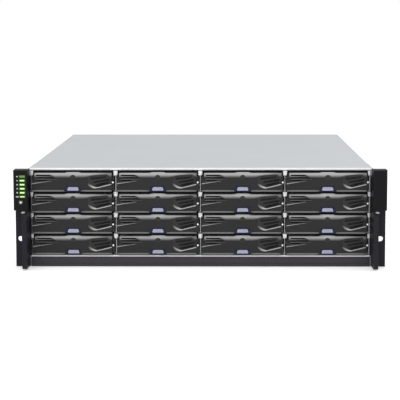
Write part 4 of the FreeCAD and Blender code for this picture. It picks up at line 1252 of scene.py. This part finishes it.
@dataclass
class TrayRow:
    """All sixteen trays with their flaps, buttons, lights and disk covers.

    Args:
        front: what dresses a flap.
        cover: what dresses a disk.
        light_radius: of the tray's light.
        light_inset: from the tray's right side to the light's middle.
        light_high: from the flap's foot to the light's middle.
        disk_side: from the tray's left side to the disk's.
        disk_front: from the chassis pan's front to the disk's.
    """

    front: TrayFront = field(default_factory=TrayFront)
    cover: DiskCover = field(default_factory=DiskCover)
    light_radius: float = 1.15
    light_inset: float = 1.0
    light_high: float = 12.4
    disk_side: float = 2.2
    disk_front: float = 10.0

    def light(self) -> Skin:
        """The domed tip of a tray's light pipe, about the pipe's own tip.

        Returns:
            The closed tip: a short rod with a dome that is a quarter of an ellipse.
        """
        angle = np.linspace(0, math.pi / 2, 7)[:-1]
        dome = np.stack([self.light_radius * np.cos(angle), -0.7 * np.sin(angle)], -1)
        profile = np.vstack([[self.light_radius, 0.8], dome, [0.25, -0.69]])
        return lathe(profile, (0, 0, 0), sides=20)

    def kit(self, shop: Workshop) -> dict[str, tuple[bpy.types.Mesh, Finishes]]:
        """Make the meshes that every flap carries.

        Args:
            shop: makes the meshes.

        Returns:
            A mesh and its finish for each piece's short name.
        """
        front = self.front
        floors, edges = front.grooves()
        shades = {"band": front.band_shade, "lip": front.lip_shade, "louvres": front.louvre_shade}
        skins = {
            # Painted highlight on the band.
            "band": (front.band(), Finishes.BAND_HIGHLIGHT),
            # Painted highlight on the lip.
            "lip": (front.lip(), Finishes.LIP_HIGHLIGHT),
            # Painted shade in the louvre slots.
            "louvres": (front.louvres(), Finishes.LOUVRE),
            # Painted highlight on the wing's crease.
            "wing": (front.wing(), Finishes.CREASE_HIGHLIGHT),
            # Painted shade in the grooves.
            "groove_shades": (floors, Finishes.SHADE_BLACK),
            # Painted highlight under the grooves.
            "groove_highlights": (edges, Finishes.GROOVE_HIGHLIGHT),
            # Painted highlight along the foot.
            "foot": (front.foot(), Finishes.FOOT_HIGHLIGHT),
            "lock": (front.lock(), Finishes.LOCK),
            # Painted shade on the button's navy surround.
            "surround": (front.surround(), Finishes.NAVY_SHADED),
        }
        return {
            name: (shop.mesh("flap_" + name, skin, shade=shades.get(name)), finish)
            for name, (skin, finish) in skins.items()
        }

    def build(self, shop: Workshop, frame: dict) -> None:
        """Make one set of meshes and place a copy of it on every tray.

        Args:
            shop: makes the pieces.
            frame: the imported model.
        """
        pan_low, _ = box_mm("chassis_pan")
        kit = self.kit(shop)
        pillow, ridges = (shop.mesh("button_pillow", skin) for skin in self.front.button())
        light = shop.mesh("tray_light", self.light())
        plate = shop.mesh("disk_cover", self.cover.plate())
        screws = shop.mesh("disk_screws", self.cover.screws())
        for tag in TRAYS:
            low, _ = box_mm("tray_flap_" + tag)
            spot = (low[0], low[1] + self.front.lip_depth, low[2])
            for name, (mesh, finish) in kit.items():
                shop.piece(f"flap_{name}_{tag}", mesh, finish, "flap_" + tag, spot)
            cap = shop.piece("release_pad_" + tag, pillow, Finishes.BUTTON, "release_" + tag, spot)
            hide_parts("release_button_" + tag)
            shop.piece("release_ridges_" + tag, ridges, Finishes.BUTTON, "release_" + tag, spot)
            tray_low, tray_high = box_mm("disk_tray_" + tag)
            tip = (tray_high[0] - self.light_inset, tray_low[1], low[2] + self.light_high)
            shop.piece("tray_light_" + tag, light, Finishes.LED, "tray_" + tag, tip)
            top = (tray_low[0] + self.disk_side, pan_low[1] + self.disk_front, tray_high[2])
            shop.piece("disk_cover_" + tag, plate, Finishes.DISK, "tray_" + tag, top)
            shop.piece("disk_screws_" + tag, screws, Finishes.SCREW, "tray_" + tag, top)
            shop.dress(frame, "tray_flap_" + tag, Finishes.FLAP)
            shop.dress(frame, "disk_tray_" + tag, Finishes.TRAY)
            shop.dress(frame, "release_button_" + tag, Finishes.BUTTON)


@dataclass
class BayCage:
    """The edges and catch tabs of the bays, with painted highlights on them and painted shade beside them.

    Args:
        column_pitch: from one divider to the next.
        row_pitch: from one ledge to the next.
        floor: Z of the lowest bays' floor.
        tab_half: half the width of a catch tab.
        tab_height: of a tab.
        tab_rise: how far a tab stands above its bay.
        cap_past: how far a cap reaches past its tab's sides, foot and top.
        cap_depth: Y of a cap's front and back, from the pan's front.
        wall_half: X of the outer faces of the bay's liners.
        hem_proud: from the pan's front out to the hem over the sill.
        hem_drop: from the bay floor down to the hem's middle.
        hem_half: half the hem's height.
        strip_sides: X of the inner and the outer face of a wall's dark strip of painted shade.
        strip_heights: Z of the foot and the top of that strip.
        strip_depth: Y of its front and back, from the pan's front.
    """

    column_pitch: float = 110.4
    row_pitch: float = 27.6
    floor: float = 15.4
    tab_half: float = 2.7
    tab_height: float = 6.2
    tab_rise: float = 0.4
    cap_past: float = 0.05
    cap_depth: Flat = (-1.3, 1.5)
    wall_half: float = 221.8
    hem_proud: float = 1.7
    hem_drop: float = 1.15
    hem_half: float = 1.0
    strip_sides: Flat = (221.75, 222.95)
    strip_heights: Flat = (13.4, 119.5)
    strip_depth: Flat = (-0.5, 1.5)

    def tabs(self, front: float) -> Skin:
        """A rounded cap over each catch tab, at the top corners of every bay, in a painted highlight.

        Args:
            front: Y of the pan's front.

        Returns:
            The closed caps. Those at the shelf's sides end just inside the liners.
        """
        near, far = (front + depth for depth in self.cap_depth)
        limit = self.wall_half - 0.1
        caps = []
        for step in range(-COLUMNS // 2, COLUMNS // 2 + 1):
            left = max(step * self.column_pitch - self.tab_half - self.cap_past, -limit)
            right = min(step * self.column_pitch + self.tab_half + self.cap_past, limit)
            for row in range(ROWS):
                top = self.floor + (row + 1) * self.row_pitch + self.tab_rise
                low = (left, near, top - self.tab_height - self.cap_past)
                caps.append(rounded_block(low, (right, far, top + self.cap_past), 1.0))
        return joined(caps)

    def hem(self, front: float) -> Skin:
        """The rolled edge of the bay floor, over the sill, in a painted highlight that glows.

        Args:
            front: Y of the pan's front.

        Returns:
            The closed roll.
        """
        across = np.linspace(-self.wall_half + 0.5, self.wall_half - 0.5, 12)
        path = level_path(across, front - self.hem_proud, self.floor - self.hem_drop)
        return bead(path, np.full(12, self.hem_half), np.full(12, self.hem_proud), sides=12)

    def shade_strips(self, front: float) -> Skin:
        """A dark strip of painted shade over the front edge of each of the pan's side walls.

        Args:
            front: Y of the pan's front.

        Returns:
            The two closed strips.
        """
        foot, top = self.strip_heights
        near, far = (front + depth for depth in self.strip_depth)
        strips = []
        for side in (-1, 1):
            left, right = sorted(side * face for face in self.strip_sides)
            strips.append(rounded_block((left, near, foot), (right, far, top), 0.3, 2))
        return joined(strips)

    def build(self, shop: Workshop, frame: dict) -> None:
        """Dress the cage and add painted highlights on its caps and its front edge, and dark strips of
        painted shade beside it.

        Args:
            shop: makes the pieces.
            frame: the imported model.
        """
        front = box_mm("chassis_pan")[0][1]
        # Painted highlight on the tab caps.
        shop.fixed("bay_tab_caps", self.tabs(front), Finishes.ZINC_HIGHLIGHT, "chassis")
        # Painted highlight: the bay floor's edge glows.
        shop.fixed("bay_floor_edge", self.hem(front), Finishes.HEM_HIGHLIGHT, "chassis")
        # Painted shade: dark strips over the side walls' lit front edges.
        shop.fixed("wall_edge_shade_strips", self.shade_strips(front), Finishes.BLACK, "chassis")
        shop.dress(frame, "bay_partitions", Finishes.BAY)
        shop.dress(frame, "midplane_board", Finishes.BOARD)


@dataclass
class CoverAndSill:
    """The lid with its rolled hem, the pan and the painted sill.

    Args:
        hem_radius: of the lid's rolled front edge.
        screw_places: Y of the screws along each side of the lid.
        screw_drop: from the lid's top down to those screws.
        blank_face: Y of the outer face of the blank plate at the rear.
        blank_high: Z of its screws.
        blank_half: X of its screws.
    """

    hem_radius: float = 1.5
    screw_places: Spot = (-120.0, 40.0, 200.0)
    screw_drop: float = 5.2
    blank_face: float = 251.6
    blank_high: float = 97.0
    blank_half: float = 116.0

    def hem(self, low: Array, high: Array) -> Skin:
        """The rolled front edge of the lid, in a painted highlight.

        Args:
            low: lowest corner of the lid.
            high: highest corner of the lid.

        Returns:
            The closed roll.
        """
        across = np.linspace(low[0] + 0.3, high[0] - 0.3, 16)
        path = level_path(across, low[1] + 0.2, high[2] - self.hem_radius - 0.05)
        return bead(path, np.full(16, self.hem_radius), np.full(16, 1.1), sides=14)

    def screws(self, high: Array) -> Skin:
        """The screw heads along the lid's sides and on the blank plate, each with a sunk socket.

        Args:
            high: highest corner of the lid.

        Returns:
            The closed heads.
        """
        dome = [(2.9, -0.3), (2.9, 0.35), (2.5, 0.85), (1.4, 1.1)]
        head = np.array(dome + [(0.6, 1.1), (0.5, 0.55), (0.1, 0.5)])
        heads = []
        for side in (-1, 1):
            for along in self.screw_places:
                spot = (side * high[0], along, high[2] - self.screw_drop)
                heads.append(lathe(head * [1, side], spot, "X", 20))
            heads.append(lathe(head, (side * self.blank_half, self.blank_face, self.blank_high), sides=20))
        return joined(heads)

    def build(self, shop: Workshop, frame: dict) -> None:
        """Dress the lid, the pan and the sill, and add the lid's hem and the screws.

        Args:
            shop: makes the pieces.
            frame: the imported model.
        """
        low, high = box_mm("top_cover")
        # Painted highlight on the lid's hem.
        shop.fixed("cover_hem_roll", self.hem(low, high), Finishes.ZINC_HIGHLIGHT, "chassis")
        shop.fixed("cover_screws", self.screws(high), Finishes.SCREW, "chassis")
        shop.dress(frame, "top_cover", Finishes.COVER)
        shop.dress(frame, "chassis_pan", Finishes.CHASSIS)
        shop.dress(frame, "front_sill", Finishes.SILL)


@dataclass
class Ears:
    """The two rack ears with the status panel, the mute button and their studs.

    Args:
        stud_side: X of the studs' middles.
        stud_high: Z of the studs' middles.
        stud_radius: half the width of a stud.
        stud_flat: a stud's height over its width.
        stud_reach: how far a stud stands in front of the ear's plate.
        plate_front: from the pan's front out to the ear's plate.
        mark_side: distance of the marks' middles from X = 0.
        mark_radius: of the outlines.
        mark_notch: radius between the tips of those that are stars.
        bar: X of the left and right end of the last mark, and half its height.
        lights: how many status lights there are.
        lens_top: Z of the middle of the highest light.
        lens_pitch: from each light down to the next.
        core_ends: X of the ends of a light's bright core.
        core_half: half the height of a core.
        last_half: half the height of the last one.
        halo_low: X and Z of the lower left corner of the dim haze around the lights.
        halo_high: X and Z of its upper right corner.
        spark_tips: how many tips the mute button's painted glint has.
        spark_radius: of those tips.
        spark_notch: radius between them.
    """

    stud_side: float = 228.3
    stud_high: float = 74.4
    stud_radius: float = 2.6
    stud_flat: float = 0.55
    stud_reach: float = 19.9
    plate_front: float = 4.0
    mark_side: float = 236.0
    mark_radius: float = 1.0
    mark_notch: float = 0.72
    bar: Spot = (-238.0, -234.2, 0.6)
    lights: int = 6
    lens_top: float = 120.9
    lens_pitch: float = 5.26
    core_ends: Flat = (-232.4, -226.8)
    core_half: float = 0.8
    last_half: float = 0.5
    halo_low: Flat = (-234.4, 93.2)
    halo_high: Flat = (-225.0, 122.8)
    spark_tips: int = 8
    spark_radius: float = 2.7
    spark_notch: float = 0.5

    def stud(self) -> Skin:
        """The oval head of the ear's fixing, beside the grip.

        It is a turned rod with a low dome, whose heights are multiplied by stud_flat.

        Returns:
            The closed stud, about the middle of its foot's plane.
        """
        angle = np.linspace(0, math.pi / 2, 7)[:-1]
        dome = np.stack([self.stud_radius * np.cos(angle), -1.2 * np.sin(angle)], -1)
        turned = lathe(np.vstack([[self.stud_radius, self.stud_reach], dome, [0.2, -1.19]]), (0, 0, 0))
        return Skin(turned.points * np.array([1.0, 1.0, self.stud_flat]), turned.faces)

    def lens_high(self, step: int) -> float:
        """Z of the middle of a status light, counted from the top."""
        return self.lens_top - step * self.lens_pitch

    def cores(self, front: float) -> Skin:
        """The brightest part of each status light but the first, a low pillow on its lens.

        Args:
            front: Y of the lenses' front.

        Returns:
            The closed pillows.
        """
        left, right = self.core_ends
        pillows = []
        for step in range(1, self.lights):
            up = self.lens_high(step)
            half = self.last_half if step == self.lights - 1 else self.core_half
            low, high = (left, front - 0.35, up - half), (right, front + 0.4, up + half)
            pillows.append(rounded_block(low, high, 0.5))
        return joined(pillows)

    def marks(self, front: float) -> Skin:
        """A plain sign beside each light: outlines and stars of three to seven tips, then a bar.

        Args:
            front: Y of the housing's front.

        Returns:
            The closed signs.
        """
        plates = []
        for step in range(self.lights):
            up = self.lens_high(step)
            inner = self.mark_notch if step % 2 else self.mark_radius
            outline = star(step + 3, self.mark_radius, inner, (-self.mark_side, up))
            if step == self.lights - 1:
                left, right, half = self.bar
                outline = rounded_outline(rectangle(left, up - half, right, up + half), 0.4)
            plates.append(cushion(outline, [(1.0, front + 0.05), (1.0, front - 0.06), (0.9, front - 0.1)]))
        return joined(plates)

    def halo(self, front: float) -> Skin:
        """The dim haze that the lights throw on the housing around them: a thin plate.

        Args:
            front: Y of the housing's front.

        Returns:
            The closed plate.
        """
        low = (self.halo_low[0], front - 0.06, self.halo_low[1])
        return rounded_block(low, (self.halo_high[0], front + 0.4, self.halo_high[1]), 0.05, 1)

    def spark(self) -> Skin:
        """A painted glint on the mute button: a low glowing star on its face.

        Returns:
            The closed star.
        """
        low, high = box_mm("mute_button")
        middle = ((low[0] + high[0]) / 2, (low[2] + high[2]) / 2)
        rays = star(self.spark_tips, self.spark_radius, self.spark_notch, middle)
        return cushion(rays, [(1.0, low[1] + 0.1), (1.0, low[1] - 0.05), (0.5, low[1] - 0.3)])

    def build(self, shop: Workshop, frame: dict) -> None:
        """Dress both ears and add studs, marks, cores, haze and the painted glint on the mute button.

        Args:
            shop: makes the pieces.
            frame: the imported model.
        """
        lens_front = box_mm("status_lenses")[0][1]
        housing = lens_front + 0.2
        plate = box_mm("chassis_pan")[0][1] - self.plate_front
        stud = shop.mesh("ear_stud", self.stud())
        for side, sign in (("left", -1), ("right", 1)):
            spot = (sign * self.stud_side, plate - self.stud_reach, self.stud_high)
            shop.piece(f"{side}_ear_stud", stud, Finishes.STUD, "chassis", spot)
            shop.dress(frame, f"{side}_ear", Finishes.EAR)
        shop.fixed("status_marks", self.marks(housing), Finishes.MARK, "chassis")
        shop.fixed("status_cores", self.cores(lens_front), Finishes.CORE, "chassis")
        shop.fixed("status_halo", self.halo(housing), Finishes.HALO, "chassis")
        # Painted highlight: the glint on the mute button.
        shop.fixed("mute_painted_glint", self.spark(), Finishes.MUTE_GLINT, "mute")
        shop.dress(frame, "status_lenses", Finishes.LENS)
        shop.dress(frame, "mute_button", Finishes.MUTE)


@dataclass
class RearModules:
    """Power modules and controller: thumb screws, inlets, ports, painted shade in their openings, and lights.

    Args:
        plate_inset: from a module's rearmost point, on its handle, to its plate.
        flange: from a module's side to its plate's edge.
        screw_inset: from the plate's edges to the thumb screws' middles.
        light_inset: from a power module's thumb screw to its light.
        inlet_side: from the plate's left edge to the inlet's middle.
        inlet_half: half the width of the inlet's opening.
        inlet_low: Z of its foot.
        inlet_high: Z of its top.
        inlet_depth: of the opening.
        bezel_out: how far the inlet's bezel reaches past the opening, in X and in Z.
        bezel_in: how far it reaches into the opening, in X and in Z.
        lining: thickness of the socket's lining.
        pocket_depth: of the fan holes and vents.
        fan_high: Z of the middle row of fan holes.
        fan_pitch: between fan holes, and between vents.
        fan_radius: of a fan hole's floor.
        vents: how many there are.
        vent_low: Z of their foot.
        vent_high: Z of their top.
        vent_width: of each.
        ports: how many there are.
        first_port: X of the left side of the first port and the first vent.
        port_pitch: from one port to the next.
        port_width: of each.
        port_low: Z of their foot.
        port_high: Z of their top.
        port_depth: of each.
        port_rim: how far a port's shell reaches past its opening, and into it.
        tongue_inset: from a port's sides and face to its contact tongue.
        tongue_heights: from a port's foot up to the tongue's foot and top.
        port_light: from a port's top up to its light.
    """

    plate_inset: float = 24.0
    flange: float = 2.1
    screw_inset: float = 8.0
    light_inset: float = 12.0
    inlet_side: float = 50.0
    inlet_half: float = 14.0
    inlet_low: float = 12.0
    inlet_high: float = 32.0
    inlet_depth: float = 15.0
    bezel_out: Flat = (1.6, 2.0)
    bezel_in: Flat = (0.8, 0.6)
    lining: float = 1.1
    pocket_depth: float = 2.0
    fan_high: float = 77.5
    fan_pitch: float = 13.5
    fan_radius: float = 6.25
    vents: int = 12
    vent_low: float = 36.0
    vent_high: float = 51.0
    vent_width: float = 9.0
    ports: int = 4
    first_port: float = -97.8
    port_pitch: float = 24.45
    port_width: float = 16.0
    port_low: float = 14.0
    port_high: float = 25.0
    port_depth: float = 14.0
    port_rim: Flat = (1.3, 0.4)
    tongue_inset: float = 2.5
    tongue_heights: Flat = (4.2, 6.8)
    port_light: float = 5.0

    def thumb(self) -> Skin:
        """A thumb screw's head with a knurled rim, about the middle of its foot.

        Its radius is that of the profile plus a small cosine with twenty waves around the rim.

        Returns:
            The closed head.
        """
        angle = np.arange(40) * 2 * math.pi / 40
        knurl = 0.14 * np.cos(angle * 20)[None, :] * np.array([0, 1, 1, 0, 0])[:, None]
        radius = np.array([4.05, 4.25, 4.25, 3.6, 2.4])[:, None] + knurl
        along = np.repeat(np.array([0.3, 0.9, 7.9, 9.1, 9.2])[:, None], 40, 1)
        return tube_of(np.stack([radius * np.cos(angle), along, radius * np.sin(angle)], -1))

    def light(self) -> Skin:
        """A small domed light, about the middle of its foot."""
        profile = np.array([(1.5, -0.2), (1.5, 0.3), (1.2, 0.8), (0.7, 1.05), (0.15, 1.1)])
        return lathe(profile, (0, 0, 0), sides=16)

    def fan_shade_plates(self, middle: float, face: float) -> Skin:
        """Painted shade at the bottom of every fan hole: three rows of dark six-sided plates.

        Args:
            middle: X of the middle hole.
            face: Y of the module's plate.

        Returns:
            The closed plates. Each one's outline is a regular one with its X and Z swapped, so that it
            has a tip on each side.
        """
        floor = face - self.pocket_depth
        steps = [(1.0, floor + 0.02), (1.0, floor + 0.25), (0.96, floor + 0.3)]
        outline = star(3, self.fan_radius, self.fan_radius, (0.0, 0.0))[:, ::-1]
        plates = []
        for line in (-1, 0, 1):
            count = 4 - abs(line)
            up = self.fan_high + line * self.fan_pitch * math.sin(math.radians(60))
            for step in range(count):
                across = middle + (step - (count - 1) / 2) * self.fan_pitch
                plates.append(cushion(outline + [across, up], steps))
        return joined(plates)

    def dark_floor(self, low: Flat, high: Flat, floor: float, thick: float) -> Skin:
        """A thin dark plate on the bottom of an opening: painted shade in ports and vents, the socket's black
        plastic in an inlet.

        Args:
            low: X and Z of the opening's lower left corner.
            high: X and Z of its upper right corner.
            floor: Y of its bottom.
            thick: from the bottom to the plate's face.

        Returns:
            The closed plate, 0.1 smaller than the opening all around.
        """
        start = (low[0] + 0.1, floor + 0.02, low[1] + 0.1)
        return rounded_block(start, (high[0] - 0.1, floor + thick, high[1] - 0.1), 0.1, 1)

    def inlet(self, middle: float, face: float) -> Skin:
        """The inlet's moulded shell: a bezel on the plate, and the lining and floor of the socket.

        Args:
            middle: X of the inlet's middle.
            face: Y of the module's plate.

        Returns:
            The closed shell.
        """
        low, high, half = self.inlet_low, self.inlet_high, self.inlet_half
        left, right, deep = middle - half, middle + half, face - self.inlet_depth

        def outline(side: float, up: float, corner: float) -> Array:
            """The opening's outline, drawn in by side in X and by up in Z."""
            return rounded_outline(rectangle(left + side, low + up, right - side, high - up), corner)

        outer = outline(-self.bezel_out[0], -self.bezel_out[1], 3.0)
        bezel = ring_plate(outer, outline(*self.bezel_in, 2.0), face - 0.2, face + 1.1)
        inner = outline(self.lining, self.lining, 1.0)
        lining = ring_plate(outline(0.05, 0.05, 0.3), inner, face - 0.3, deep + 0.1)
        return joined([bezel, lining, self.dark_floor((left, low), (right, high), deep, 0.3)])

    def port_parts(self, face: float) -> tuple[Skin, Skin, Skin]:
        """The parts of the controller's four ports and twelve vents.

        Args:
            face: Y of the controller's plate.

        Returns:
            The ports' shells in a painted highlight, the dark plates of painted shade in ports and vents, and
            the contact tongues.
        """
        past, into = self.port_rim
        foot, top = self.tongue_heights
        low, high, deep = self.port_low, self.port_high, face - self.port_depth
        shells, floors, tongues = [], [], []
        for step in range(self.ports):
            left = self.first_port + step * self.port_pitch
            right = left + self.port_width
            outer = rounded_outline(rectangle(left - past, low - past, right + past, high + past), 1.2)
            inner = rounded_outline(rectangle(left + into, low + into, right - into, high - into), 0.8)
            shells.append(ring_plate(outer, inner, face - 0.1, face + 0.7))
            floors.append(self.dark_floor((left, low), (right, high), deep, 0.4))
            start = (left + self.tongue_inset, deep + 0.2, low + foot)
            end = (right - self.tongue_inset, face - self.tongue_inset, low + top)
            tongues.append(rounded_block(start, end, 0.5, 2))
        for step in range(self.vents):
            left = self.first_port + step * self.fan_pitch
            corner = (left + self.vent_width, self.vent_high)
            floors.append(self.dark_floor((left, self.vent_low), corner, face - self.pocket_depth, 0.3))
        return joined(shells), joined(floors), joined(tongues)

    def controller(self, shop: Workshop, light: bpy.types.Mesh, face: float) -> None:
        """Add the controller's ports, the painted shade in its openings, and its lights.

        Args:
            shop: makes the pieces.
            light: the mesh of a light.
            face: Y of the controller's plate.
        """
        shells, floors, tongues = self.port_parts(face)
        # Painted highlight on the port shells.
        shop.fixed("port_shells", shells, Finishes.ZINC_HIGHLIGHT, "controller")
        # Painted shade: dark plates in the ports and vents.
        shop.fixed("canister_shade_plates", floors, Finishes.SHADE_BLACK, "controller")
        shop.fixed("port_tongues", tongues, Finishes.BLACK, "controller")
        for step in range(self.ports):
            across = self.first_port + self.port_width / 2 + step * self.port_pitch
            spot = (across, face, self.port_high + self.port_light)
            shop.piece(f"port_light_{step + 1}", light, Finishes.LENS, "controller", spot)

    def build(self, shop: Workshop, frame: dict) -> None:
        """Dress the modules and add their small pieces.

        Args:
            shop: makes the pieces.
            frame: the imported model.
        """
        thumb, light = shop.mesh("thumb_head", self.thumb()), shop.mesh("module_light", self.light())
        inset = self.flange + self.screw_inset
        for body in ("left_power", "right_power", "controller"):
            node = body + "_module"
            low, high = box_mm(node)
            face = high[1] - self.plate_inset
            spots = [(high[0] - inset, face, high[2] - inset)]
            if body == "controller":
                spots.append((low[0] + inset, face, high[2] - inset))
                self.controller(shop, light, face)
            else:
                middle = low[0] + self.flange + self.inlet_side
                shop.fixed(body + "_inlet_shell", self.inlet(middle, face), Finishes.BLACK, body)
                # Painted shade: dark plates in the fan holes.
                shop.fixed(body + "_fan_shade_plates", self.fan_shade_plates(middle, face), Finishes.SHADE_BLACK, body)
                spot = (high[0] - inset - self.light_inset, face, high[2] - inset)
                shop.piece(body + "_light", light, Finishes.LENS, body, spot)
            for number, spot in enumerate(spots, start=1):
                shop.piece(f"{body}_thumb_{number}", thumb, Finishes.SCREW, body, spot)
            shop.dress(frame, node, Finishes.MODULE)


@dataclass(frozen=True)
class Lamp:
    """A square lamp of the studio.

    Args:
        name: of the lamp.
        spot: its place, in metres.
        size: its side, in metres.
        power: in watts.
    """

    name: str
    spot: Spot
    size: float
    power: float

    def hang(self, target: Spot) -> None:
        """Put the lamp into the scene and point it at the target.

        Args:
            target: in metres.
        """
        light = bpy.data.lights.new(self.name, "AREA")
        light.size = self.size
        light.energy = self.power
        item = bpy.data.objects.new(self.name, light)
        item.location = self.spot
        aim = np.array(target) - np.array(self.spot)
        tilt = math.acos(-aim[2] / np.linalg.norm(aim))
        item.rotation_euler = (tilt, 0, math.atan2(aim[1], aim[0]) - math.pi / 2)
        bpy.context.scene.collection.objects.link(item)


@dataclass
class Studio:
    """Floor, soft light and camera.

    Args:
        lens: of the camera, for a sensor 36 wide.
        eye: place of the camera, in millimetres.
        pitch: how far it looks down, in degrees.
        yaw: how far it is turned about the vertical.
        roll: how far it is turned about its own line of sight.
        shift: of the lens, in widths of the sensor.
        ground: lowest and highest X and Y of the floor, in metres.
        floor_glow: strength of the floor's own light.
        lamps: one above the shelf and one in front of it.
        aim: place that they point at, in metres.
        low_sky: strength of the sky near the horizon.
        high_sky: strength of the sky overhead.
    """

    lens: float = 115.2
    eye: Spot = (27.7, -1905.7, 318.7)
    pitch: float = 6.023
    yaw: float = -0.682
    roll: float = 0.074
    shift: Flat = (-0.0155, -0.1072)
    ground: tuple[Flat, Flat] = ((-9.0, -4.0), (9.0, 20.0))
    floor_glow: float = 0.42
    lamps: tuple[Lamp, ...] = (
        Lamp("overhead", (0.75, 0.35, 1.7), 1.6, 7.0),
        Lamp("front_left", (-0.9, -1.5, 1.5), 1.2, 6.0),
    )
    aim: Spot = (0.0, -0.1, 0.08)
    low_sky: float = 0.45
    high_sky: float = 0.95

    def sky(self) -> bpy.types.World:
        """A soft box: dim near the horizon and bright overhead, and plain white where it is seen.

        Returns:
            The world.
        """
        world = bpy.data.worlds.new("studio")
        world.use_nodes = True
        tree = NodeTree(world.node_tree)
        place = tree.add("SeparateXYZ", {"Vector": tree.add("TexCoord").outputs["Generated"]}).outputs["Z"]
        ends = {"From Min": 0.0, "From Max": 0.7, "To Min": self.low_sky, "To Max": self.high_sky}
        climb = tree.add("MapRange", {"Value": place, **ends})
        seen = tree.add("LightPath").outputs["Is Camera Ray"]
        strength = tree.maths("MAXIMUM", climb.outputs[0], seen)
        light = tree.add("Background", {"Color": (1, 1, 1, 1), "Strength": strength})
        tree.add("OutputWorld", {"Surface": light.outputs[0]})
        return world

    def floor(self) -> None:
        """Lay the plain pale floor."""
        (left, near), (right, far) = self.ground
        mesh = bpy.data.meshes.new("floor")
        corners = [(left, near, 0), (right, near, 0), (right, far, 0), (left, far, 0)]
        mesh.from_pydata(corners, [], [(0, 1, 2, 3)])
        ground = bpy.data.objects.new("floor", mesh)
        bpy.context.scene.collection.objects.link(ground)
        material = bpy.data.materials.new("floor_pale")
        material.use_nodes = True
        shader = material.node_tree.nodes["Principled BSDF"]
        shader.inputs["Base Color"].default_value = (0.9, 0.9, 0.9, 1)
        shader.inputs["Roughness"].default_value = 0.85
        shader.inputs["Specular IOR Level"].default_value = 0.1
        shader.inputs["Emission Color"].default_value = (1, 1, 1, 1)
        shader.inputs["Emission Strength"].default_value = self.floor_glow
        mesh.materials.append(material)

    def camera(self) -> None:
        """Place the camera and make it the scene's."""
        camera = bpy.data.cameras.new("camera")
        camera.lens = self.lens
        camera.sensor_width = 36.0
        camera.shift_x, camera.shift_y = self.shift
        camera.clip_end = 60.0
        eye = bpy.data.objects.new("camera", camera)
        eye.location = [part * MM for part in self.eye]
        eye.rotation_euler = (math.radians(90 - self.pitch), math.radians(self.roll), math.radians(-self.yaw))
        bpy.context.scene.collection.objects.link(eye)
        bpy.context.scene.camera = eye

    def build(self) -> None:
        """Make the floor, the world, the lamps and the camera."""
        bpy.context.scene.view_settings.view_transform = "Standard"
        self.floor()
        bpy.context.scene.world = self.sky()
        for lamp in self.lamps:
            lamp.hang(self.aim)
        self.camera()


def main() -> None:
    """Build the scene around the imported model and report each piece."""
    logging.basicConfig(level=logging.INFO, format="%(name)s: %(message)s")
    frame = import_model()
    shop = Workshop()
    for assembly in (TrayRow(), BayCage(), CoverAndSill(), Ears(), RearModules()):
        done = len(shop.pieces)
        assembly.build(shop, frame)
        log.info("%s: %s", type(assembly).__name__, ", ".join(shop.pieces[done:]))
    Studio().build()
    log.info("%d pieces added", len(shop.pieces))


if __name__ == "__main__":
    main()
